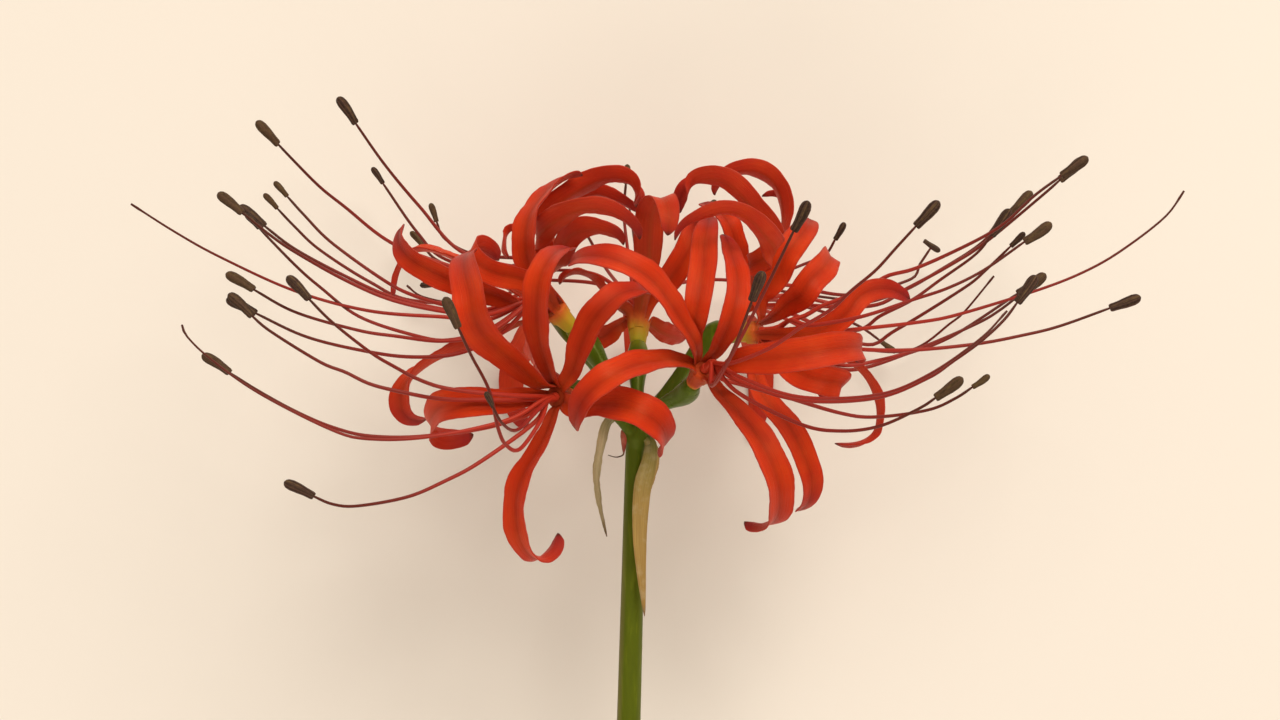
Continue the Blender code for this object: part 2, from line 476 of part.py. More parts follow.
def push_pair(a, b, pa, pb, box_a, box_b, memory):
    """Moves the stations of two organs apart along one shared direction where their bodies meet."""
    near = a.radius + b.radius
    flat_a, flat_b = pa.reshape(-1, 3), pb.reshape(-1, 3)
    near_b = ((flat_a > box_b[0] - near) & (flat_a < box_b[1] + near)).all(1)
    near_a = ((flat_b > box_a[0] - near) & (flat_b < box_a[1] + near)).all(1)
    if a.floret == b.floret:
        near_b &= np.repeat(a.away, pa.shape[1])
        near_a &= np.repeat(b.away, pb.shape[1])
    of_a, of_b = np.nonzero(near_b)[0], np.nonzero(near_a)[0]
    if not (len(of_a) and len(of_b)):
        return
    gap = flat_a[of_a][:, None, :] - flat_b[of_b][None, :, :]
    distance = np.sqrt((gap**2).sum(2))
    touching = distance < near
    if not touching.any():
        return
    i, j = np.nonzero(touching)
    gap, distance = gap[i, j], distance[i, j]
    i, j = of_a[i], of_b[j]
    depth = (near - distance) / np.maximum(distance, 1e-6)
    leaning = (gap * depth[:, None]).sum(0) * (0.6, 0.6, 1.0)
    key = (a.index, b.index)
    leaning = unit(unit(leaning) + 1.5 * memory.get(key, np.zeros(3)))
    memory[key] = leaning
    need = np.clip(near - gap @ leaning, 0, 1.2)
    if a.fixed or b.fixed:
        share_a = 0.0 if a.fixed else 1.0
    else:
        share_a = 0.5 + 0.3 * ((b.half_width is not None) - (a.half_width is not None))
    for organ, index, wide, share in ((a, i, pa.shape[1], share_a), (b, j, pb.shape[1], share_a - 1)):
        amount = np.zeros(len(organ.path))
        np.maximum.at(amount, index // wide, need)
        organ.shift += (amount * share)[:, None] * leaning


def floor_depth(y):
    """How deep the surface lies below the flower's middle plane, at a height y up the flower."""
    return -(BASE_HEIGHT + y * math.sin(LYING_TILT)) / math.cos(LYING_TILT)


def bend_clear(organs, rounds=100):
    """Bends organs until none runs through another or through the surface, roots held."""
    memory = {}
    for index, organ in enumerate(organs):
        organ.index = index
        along = np.r_[0, np.cumsum(np.linalg.norm(np.diff(organ.path, axis=0), axis=1))]
        organ.hold = np.clip((along - 3.0) / 5.0, 0, 1)
        organ.away = along > 4.0
    for _ in range(rounds):
        bodies = [o.samples() for o in organs]
        boxes = [(b.reshape(-1, 3).min(0) - 1, b.reshape(-1, 3).max(0) + 1) for b in bodies]
        for organ in organs:
            organ.shift = np.zeros_like(organ.path)
        for i, a in enumerate(organs):
            for j in range(i + 1, len(organs)):
                b = organs[j]
                if a.fixed and b.fixed:
                    continue
                if a.floret == b.floret and a.half_width is None and b.half_width is None:
                    continue
                if (boxes[i][0] < boxes[j][1]).all() and (boxes[j][0] < boxes[i][1]).all():
                    push_pair(a, b, bodies[i], bodies[j], boxes[i], boxes[j], memory)
        for organ, body in zip(organs, bodies):
            if organ.fixed:
                continue
            lowest = (body[:, :, 2] - floor_depth(body[:, :, 1])).min(1)
            organ.shift[:, 2] += np.clip(organ.clearance - lowest, 0, 2)
            smoothed = np.copy(organ.shift)
            for _ in range(3):
                padded = np.vstack([smoothed[:1], smoothed, smoothed[-1:]])
                smoothed = (padded[:-2] + 2 * padded[1:-1] + padded[2:]) / 4
            organ.path = organ.path + 0.7 * smoothed * organ.hold[:, None]
            organ.turn_faces()
    return organs


def mesh_object(name, vertices, faces, material=None):
    mesh = bpy.data.meshes.new(name)
    mesh.from_pydata([tuple(float(c) * MM for c in v) for v in vertices], [], faces)
    obj = bpy.data.objects.new(name, mesh)
    bpy.context.scene.collection.objects.link(obj)
    if material:
        mesh.materials.append(material)
    return obj


def rings_to_faces(rings, around):
    """Triangles of a closed skin over rings of points, alike on opposite sides of a thin blade."""
    faces = []
    for r in range(rings - 1):
        for k in range(around):
            a = r * around + k
            b = r * around + (k + 1) % around
            c, d = a + around, b + around
            faces += [(a, b, d), (a, d, c)]
    return faces


def tube_mesh(path, radii, sides):
    """Points and faces of a tapered tube with closed ends."""
    t = tangents(path)
    side = np.cross(t[0], (0.3, 0.5, 0.8))
    rings = []
    for p, tangent, radius in zip(path, t, radii):
        side = unit(side - tangent * (side @ tangent))
        other = np.cross(tangent, side)
        for k in range(sides):
            angle = 2 * math.pi * k / sides
            rings.append(p + radius * (math.cos(angle) * side + math.sin(angle) * other))
    faces = rings_to_faces(len(path), sides)
    last = (len(path) - 1) * sides
    faces += [(0, k + 1, k) for k in range(1, sides - 1)]
    faces += [(last, last + k, last + k + 1) for k in range(1, sides - 1)]
    return rings, faces


def blade_mesh(organ, thickness, wave, seed):
    """Points and faces of a thin channelled blade with waved edges."""
    length = np.linalg.norm(np.diff(organ.path, axis=0), axis=1).sum()
    stations = int(np.clip(round(length / TEPAL_STATION_SPACING) + 1, 8, 14))
    where = np.linspace(0, 1, stations)
    source = np.linspace(0, 1, len(organ.path))
    pick = np.stack([np.interp(where, source, organ.path[:, k]) for k in range(3)], axis=1)
    w = np.stack([np.interp(where, source, organ.w[:, k]) for k in range(3)], axis=1)
    t = tangents(pick)
    w = w - t * np.sum(w * t, axis=1)[:, None]
    w /= np.linalg.norm(w, axis=1)[:, None]
    n = np.cross(w, t)
    half = np.interp(where, source, organ.half_width)
    points = []
    for k, s in enumerate(where):
        fade = math.sin(math.pi * np.clip((s - 0.15) / 0.8, 0, 1)) ** 0.5
        lift = organ.channel * half[k] / (0.5 * TEPAL_WIDTH)
        left = wave * fade * math.sin(2 * math.pi * TEPAL_WAVES * s + seed)
        right = wave * fade * math.sin(2 * math.pi * TEPAL_WAVES * s + seed * 1.7 + 2.0)
        upper = [
            pick[k] + w[k] * half[k] + n[k] * (lift + left),
            pick[k],
            pick[k] - w[k] * half[k] + n[k] * (lift + right),
        ]
        points += upper + [p - n[k] * thickness for p in upper]
    return points, blade_faces(stations)


def blade_faces(stations):
    faces = []
    for r in range(stations - 1):
        a, b = r * 6, r * 6 + 6
        for k in (0, 1):
            faces += [(a + k, a + k + 1, b + k + 1), (a + k, b + k + 1, b + k)]
            faces += [(a + 3 + k, b + 4 + k, a + 4 + k), (a + 3 + k, b + 3 + k, b + 4 + k)]
        faces += [(a, b + 3, a + 3), (a, b, b + 3), (a + 2, a + 5, b + 5), (a + 2, b + 5, b + 2)]
    end = (stations - 1) * 6
    faces += [(0, 3, 4), (0, 4, 1), (1, 4, 5), (1, 5, 2)]
    faces += [(end, end + 4, end + 3), (end, end + 1, end + 4), (end + 1, end + 5, end + 4),
              (end + 1, end + 2, end + 5)]
    return faces


def anther_mesh(tip, along, kind):
    """Points and faces of one anther, a spindle at its filament's tip, or one swung across it."""
    length = ANTHER_LENGTH if kind == "large" else 0.62 * ANTHER_LENGTH
    radius = ANTHER_RADIUS if kind == "large" else 0.62 * ANTHER_RADIUS
    begin = -0.06
    if kind == "swung":
        along = unit(np.cross(along, (0, 0, 1)))
        begin = -0.5
    shape = [(0, 0.35), (0.26, 0.9), (0.66, 1.0), (1.0, 0.35)]
    path = np.array([tip + along * length * (begin + s) for s, _ in shape])
    return tube_mesh(path, [radius * r for _, r in shape], 5)


def facing_out(obj):
    mesh = bmesh.new()
    mesh.from_mesh(obj.data)
    bmesh.ops.recalc_face_normals(mesh, faces=mesh.faces)
    mesh.to_mesh(obj.data)
    mesh.free()


def joined(name, pieces, material):
    """One solid made of overlapping pieces, each given as points and faces."""
    base = mesh_object(name, *pieces[0], material)
    facing_out(base)
    if len(pieces) > 1:
        others = bpy.data.collections.new(name + "_pieces")
        bpy.context.scene.collection.children.link(others)
        for k, piece in enumerate(pieces[1:]):
            obj = mesh_object(f"{name}_piece_{k}", *piece)
            bpy.context.scene.collection.objects.unlink(obj)
            others.objects.link(obj)
            facing_out(obj)
        union = base.modifiers.new("join", "BOOLEAN")
        union.operation = "UNION"
        union.operand_type = "COLLECTION"
        union.collection = others
        union.solver = "MANIFOLD"
        graph = bpy.context.evaluated_depsgraph_get()
        solid = bpy.data.meshes.new_from_object(base.evaluated_get(graph))
        base.modifiers.clear()
        base.data = solid
        for obj in list(others.objects):
            bpy.data.objects.remove(obj)
        bpy.data.collections.remove(others)
        keep_outer_skin(base.data)
    press_flat(base.data)
    return base


def keep_outer_skin(mesh):
    """Fills the small hollows that the union closed in, by removing their walls."""
    solid = bmesh.new()
    solid.from_mesh(mesh)
    waiting = set(solid.faces)
    skins = []
    while waiting:
        edge_of_skin = [waiting.pop()]
        skin = []
        while edge_of_skin:
            face = edge_of_skin.pop()
            skin.append(face)
            for edge in face.edges:
                for other in edge.link_faces:
                    if other in waiting:
                        waiting.remove(other)
                        edge_of_skin.append(other)
        skins.append(skin)
    skins.sort(key=len)
    inner = [face for skin in skins[:-1] for face in skin]
    bmesh.ops.delete(solid, geom=inner, context="FACES")
    solid.to_mesh(mesh)
    solid.free()


def press_flat(mesh):
    """Flattens what would reach below the surface that the flower lies on."""
    up = Vector((0, math.sin(LYING_TILT), math.cos(LYING_TILT)))
    for vertex in mesh.vertices:
        height = vertex.co @ up + BASE_HEIGHT * MM
        if height < 0:
            vertex.co -= up * height


def plant_material(name, colour, roughness):
    material = bpy.data.materials.new(name)
    material.use_nodes = True
    shader = material.node_tree.nodes["Principled BSDF"]
    shader.inputs["Base Color"].default_value = (*colour, 1)
    shader.inputs["Roughness"].default_value = roughness
    shader.inputs["Metallic"].default_value = 0.0
    return material


def make_perianth(name, floret, tepals, material):
    mouth = true_place(floret["mouth"])
    axis = unit(floret["faces"])
    low = mouth - (TUBE_LENGTH - GAP) * axis
    path = np.array([low, mouth - 2.2 * axis, mouth])
    pieces = [tube_mesh(path, [TUBE_RADIUS_LOW, TUBE_RADIUS_LOW + 0.3, TUBE_RADIUS_MOUTH], 10)]
    for k, tepal in enumerate(tepals):
        pieces.append(blade_mesh(tepal, TEPAL_THICKNESS, TEPAL_WAVE, 1.3 * k + 0.7))
    return joined("perianth_" + name, pieces, material)


def make_stamens(name, floret, threads, material):
    mouth = true_place(floret["mouth"])
    axis = unit(floret["faces"])
    base = np.array([mouth + GAP * axis, mouth + (GAP + 1.0) * axis])
    pieces = [tube_mesh(base, [1.0, 0.9], 7)]
    for thread in threads:
        path = spread_evenly(thread.path, FILAMENT_STATIONS)
        radii = np.linspace(FILAMENT_RADIUS_ROOT, FILAMENT_RADIUS_TIP, len(path))
        pieces.append(tube_mesh(path, radii, 3))
        if thread.anther:
            pieces.append(anther_mesh(path[-1], unit(path[-1] - path[-2]), thread.anther))
    return joined("stamens_" + name, pieces, material)


def scape_path(down):
    """Points on the scape's middle line, by their share of its length from the umbel to the cut."""
    return np.array([(SCAPE_LEAN * s**1.2 - 0.3, -SCAPE_LENGTH * s, 0) for s in down])


def make_scape(material):
    """The leafless stalk, its head and the seven pedicels that grew from it, each with its ovary."""
    down = np.array([0, 0.04, 0.12, 0.24, 0.4, 0.6, 0.8, 1])
    thickness = SCAPE_RADIUS_TOP + (SCAPE_RADIUS_CUT - SCAPE_RADIUS_TOP) * down**0.4
    pieces = [tube_mesh(scape_path(down), thickness, 12)]
    head = np.array([(0, -3.0, 0), (0, -0.6, 0), (0, 2.0, 0)])
    pieces.append(tube_mesh(head, [1.9, 2.9, 2.0], 10))
    for floret in FLORETS.values():
        stalk = stalk_path(floret)
        radii = [PEDICEL_RADIUS, PEDICEL_RADIUS + 0.1, OVARY_RADIUS, OVARY_RADIUS, TUBE_RADIUS_LOW]
        swell = np.interp(np.linspace(0, 1, len(stalk)), [0, 0.5, 0.72, 0.88, 1], radii)
        pieces.append(tube_mesh(stalk, swell, 7))
    return joined("scape", pieces, material)


def arrange():
    """Every organ of the flower, bent clear of the others."""
    organs = []
    for name, floret in FLORETS.items():
        stalk = spread_evenly(stalk_path(floret), 14)[:-1]
        organs.append(Organ("scape", name, stalk, 2.4, fixed=True))
        organs += floret_organs(name, floret)
    organs.append(Organ("scape", "scape", scape_path(np.linspace(0, 0.25, 30)), 2.3, fixed=True))
    for name, bract in BRACTS.items():
        organ = Organ(name, name, smooth_path(true_place(bract["rib"]), 25), 0.45)
        half_width = bract_half_width(np.linspace(0, 1, 25), bract["width"])
        across = np.array(bract["across"], float)
        organ.as_blade(half_width, 0.5, 0.0, across, across)
        organs.append(organ)
    return bend_clear(organs)


def lay_down(objects):
    """Hangs the pieces on an empty, tilts it on to the surface and centres its box over the origin."""
    lily = bpy.data.objects.new("lily", None)
    bpy.context.scene.collection.objects.link(lily)
    tilt = Matrix.Rotation(LYING_TILT, 4, "X")
    corners = np.array([tilt @ v.co for obj in objects for v in obj.data.vertices])
    middle = (corners.min(0) + corners.max(0)) / 2
    lily.matrix_world = Matrix.Translation((-middle[0], -middle[1], -corners[:, 2].min())) @ tilt
    for obj in objects:
        obj.parent = lily
        obj.data.shade_smooth()
        obj.data.set_sharp_from_angle(angle=math.radians(50))


def main():
    for obj in list(bpy.data.objects):
        bpy.data.objects.remove(obj)
    red = plant_material("tepal_red", (0.75, 0.05, 0.015), 0.45)
    thread_red = plant_material("filament_red", (0.45, 0.03, 0.03), 0.4)
    green = plant_material("stalk_green", (0.12, 0.26, 0.03), 0.4)
    straw = plant_material("bract_straw", (0.55, 0.45, 0.25), 0.7)
    organs = arrange()
    objects = []
    for name, floret in FLORETS.items():
        blades = [o for o in organs if o.node == "perianth_" + name]
        threads = [o for o in organs if o.node == "stamens_" + name]
        objects.append(make_perianth(name, floret, blades, red))
        objects.append(make_stamens(name, floret, threads, thread_red))
    objects.append(make_scape(green))
    for name in BRACTS:
        bract = next(o for o in organs if o.node == name)
        objects.append(joined(name, [blade_mesh(bract, BRACT_THICKNESS, 0.15, 1.0)], straw))
    lay_down(objects)


main()
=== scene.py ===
"""The red spider lily's looks: finer forms of every node, materials, stage, light and camera."""

import json
import math

import bmesh
import bpy
import numpy as np
from mathutils import Matrix, Vector

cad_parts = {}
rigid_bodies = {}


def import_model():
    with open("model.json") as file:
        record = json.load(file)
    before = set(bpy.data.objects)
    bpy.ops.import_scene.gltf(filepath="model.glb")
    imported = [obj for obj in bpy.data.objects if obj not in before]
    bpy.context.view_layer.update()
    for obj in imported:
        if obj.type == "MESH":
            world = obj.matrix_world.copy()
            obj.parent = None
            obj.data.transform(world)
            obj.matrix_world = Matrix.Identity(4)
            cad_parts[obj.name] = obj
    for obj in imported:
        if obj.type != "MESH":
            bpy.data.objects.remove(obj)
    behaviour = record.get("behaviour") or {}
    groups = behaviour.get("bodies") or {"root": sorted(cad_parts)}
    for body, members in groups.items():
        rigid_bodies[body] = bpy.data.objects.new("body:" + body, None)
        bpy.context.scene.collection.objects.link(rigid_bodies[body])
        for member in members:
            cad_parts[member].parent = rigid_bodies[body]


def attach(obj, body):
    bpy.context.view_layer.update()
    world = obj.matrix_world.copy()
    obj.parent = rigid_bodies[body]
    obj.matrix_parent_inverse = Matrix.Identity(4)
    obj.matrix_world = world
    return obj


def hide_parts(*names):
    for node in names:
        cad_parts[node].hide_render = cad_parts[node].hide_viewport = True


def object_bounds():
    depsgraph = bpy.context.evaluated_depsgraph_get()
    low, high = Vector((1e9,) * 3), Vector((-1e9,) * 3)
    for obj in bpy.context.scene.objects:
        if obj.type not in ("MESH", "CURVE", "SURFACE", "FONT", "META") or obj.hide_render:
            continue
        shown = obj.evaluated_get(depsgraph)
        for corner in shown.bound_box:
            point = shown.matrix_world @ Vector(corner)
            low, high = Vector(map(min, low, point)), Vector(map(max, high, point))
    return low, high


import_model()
CAD_LOW, CAD_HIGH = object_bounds()

MM = 0.001

# Driving sizes, in millimetres
SCAPE_LENGTH = 250.0
SCAPE_RADIUS_CUT = 2.9
SCAPE_RADIUS_TOP = 1.8
SCAPE_LEAN = -8.0
PEDICEL_RADIUS = 1.3
OVARY_RADIUS = 2.3
TUBE_LENGTH = 5.0
TUBE_RADIUS_LOW = 1.6
TUBE_RADIUS_MOUTH = 2.6
TEPAL_WIDTH = 5.9
TEPAL_THICKNESS = 0.65
TEPAL_CHANNEL = 0.9
TEPAL_WAVE = 0.22
TEPAL_WAVES = 5.0
FILAMENT_RADIUS_ROOT = 0.52
FILAMENT_RADIUS_TIP = 0.32
ANTHER_LENGTH = 6.6
ANTHER_RADIUS = 1.15
BRACT_THICKNESS = 0.6
BRACT_CHANNEL = 0.5
GAP = 0.3
# Shares of these sizes: the tips of the finer filaments, and the smaller anthers
FINE_TIP_SHARE, SMALL_ANTHER = 0.86, 0.62

# While the flower is arranged: the stations along each organ, and the room that its body takes
BLADE_STATIONS, THREAD_STATIONS, STALK_STATIONS, SCAPE_STATIONS = 25, 45, 14, 30
TEPAL_ROOM, THREAD_ROOM, STALK_ROOM, SCAPE_ROOM, BRACT_ROOM = 0.72, 0.85, 2.4, 2.3, 0.45
# How high above the surface the tepals that rest on it are drawn
RESTING_CLEARANCE = 0.45
# How much of an organ is held at its root, and over what length that ends
HELD_LENGTH, EASING_LENGTH = 3.0, 5.0
# Up to this length from their roots, organs of one floret may touch
SHARED_LENGTH = 4.0
# How often organs are pushed, what share of a push is made, and the most that one push or lift is
ROUNDS, PUSH_SHARE, MOST_PUSH, MOST_LIFT = 100, 0.7, 1.2, 2.0
# Steps between two given points of a curve
CURVE_STEPS = 12

# Where tepals, filaments and the style start: heights over the floret's mouth, and distances out
TEPAL_ROOT = ((-2.6, 1.6), (0.9, 2.2))
FILAMENT_ROOT = ((0.6, 0.5), (4.0, 0.8))
STYLE_ROOT = ((0.6, 0.0), (4.0, 0.3))
# Where along a blade it starts to turn from its root's direction to its own, and over what length
TURN_START, TURN_LENGTH = 2.0, 12.0

# The fine blades: thickness, waves and crisping of the edges, stations along and points across
FINE_TEPAL = (TEPAL_THICKNESS, TEPAL_WAVE, 0.07, 76, 17)
FINE_BRACT = (BRACT_THICKNESS, 0.12, 0.1, 90, 17)
FINE_FLAP = (0.7 * BRACT_THICKNESS, 0.1, 0.08, 50, 13)
FINE_SCALE = (0.35, 0.05, 0.03, 40, 11)
# Points of the curves from which fine blades, the bracts and the smallest blades are made
FINE_CURVE, BRACT_CURVE, SMALL_CURVE = 500, 120, 40

# The outlines of round forms: how far along them, and the radius or its share there
HEAD_OUTLINE = ([0, 0.45, 0.75, 1], [1.9, 2.85, 2.7, 1.9])
STALK_OUTLINE = ([0, 0.5, 0.64, 0.74, 0.82, 0.9, 0.96, 1],
                 [PEDICEL_RADIUS, PEDICEL_RADIUS + 0.06, 1.75, 2.22, OVARY_RADIUS, 2.2, 1.85,
                  TUBE_RADIUS_LOW])
FILAMENT_OUTLINE = ([0, 0.975, 1], [1, 1, 0.6])
STYLE_OUTLINE = ([0, 0.5, 0.97, 0.985, 1], [0.95, 0.85, 0.75, 1.0, 0.8])
ANTHER_OUTLINE = ([0, 0.06, 0.25, 0.5, 0.75, 0.9, 0.97, 1], [0.4, 0.54, 0.66, 0.82, 0.88, 0.76, 0.5, 0.2])
# How deeply an anther is cleft along it
ANTHER_CLEFT = ([0, 0.12, 0.3, 0.8, 1], [0.6, 0.32, 0.16, 0.14, 0.05])
# How deep below the mouth each ring of a floret's tube lies, and how full it is there
TUBE_DEPTHS = (TUBE_LENGTH + GAP, 4.5, 3.8, 3.1, 2.4, 1.7, 1.1, 0.7, 0.35, 0.1, 0.0)
TUBE_FULLNESS = (0.92, 1, 1, 1, 1, 1, 1, 1, 0.96, 0.86, 0.7)
# The radii of the short column in the mouth on which a floret's threads stand
COLUMN_RADII = (1.0, 0.98, 0.9)

# Rings along and sides round each round form
SCAPE_RINGS, HEAD_RINGS, STALK_RINGS, THREAD_RINGS, ANTHER_RINGS = 170, 12, 44, 60, 26
SCAPE_SIDES, STALK_SIDES, TUBE_SIDES, COLUMN_SIDES, THREAD_SIDES, ANTHER_SIDES = 40, 30, 24, 18, 8, 22
# The size of the cells in which the scape's skin is made anew
SCAPE_CELL = 0.34
# Where along a stalk its ovary starts, how near to the ovary's line its colour is full, and over
# what distance that fades
OVARY_START, OVARY_NEAR, OVARY_FADE = 0.62, 1.5, 3.0

# The front florets' tubes are red down to the ovary, and the others' yellow: how far the yellow
# and green reach from a tube's foot, up the tube and down the ovary
RED_TUBES = ("front_left", "front_right")
TUBE_REACH, TUBE_REACH_RED = 10.0, 3.4
OVARY_REACH, OVARY_REACH_RED = 5.5, 2.2
# No thread ends nearer its floret's mouth than this
THREAD_END = 30.0

# How the flower lies: the scape rises from its cut end, and the umbel rests on its lowest tepals
LYING_TILT = math.radians(8.5)
COS_TILT, SIN_TILT = math.cos(LYING_TILT), math.sin(LYING_TILT)
SETTLING = 0.12
BASE_HEIGHT = SCAPE_LENGTH * SIN_TILT + SCAPE_RADIUS_CUT * COS_TILT - SETTLING
# Where the flower's own frame lies, in metres
LILY_AT = (-0.004238222, 0.087992378, 0.039700463)

# Points are drawn as an eye sees them from this far above the flower, over this place on it, in
# millimetres. A point that is nearer to the eye is in truth nearer to that place than it looks.
EYE_DISTANCE = 960.0
EYE_OVER = (0.6, 15.0)
LENS, SENSOR = 135, 36

# The floor's half width and how far it lies under the flower, in metres
FLOOR_REACH, FLOOR_DROP = 6.0, 0.0003

# The kinds of anther: long, smaller or seen end on, and hung across its thread
LARGE, SMALL, SWUNG = "large", "small", "swung"
ANTHER_REACH = {LARGE: ANTHER_LENGTH, SMALL: SMALL_ANTHER * ANTHER_LENGTH}


def in_threes(numbers):
    return [numbers[k : k + 3] for k in range(0, len(numbers), 3)]


def rib(*numbers, width=TEPAL_WIDTH, across=None, rests=False):
    """A tepal: the points of its midrib, its width, the direction across it, and if it bears weight."""
    return {"rib": in_threes(numbers), "width": width, "across": across, "rests": rests}


def thread(anther, *numbers):
    """A filament with its kind of anther, or the style, which has none."""
    return anther, in_threes(numbers)


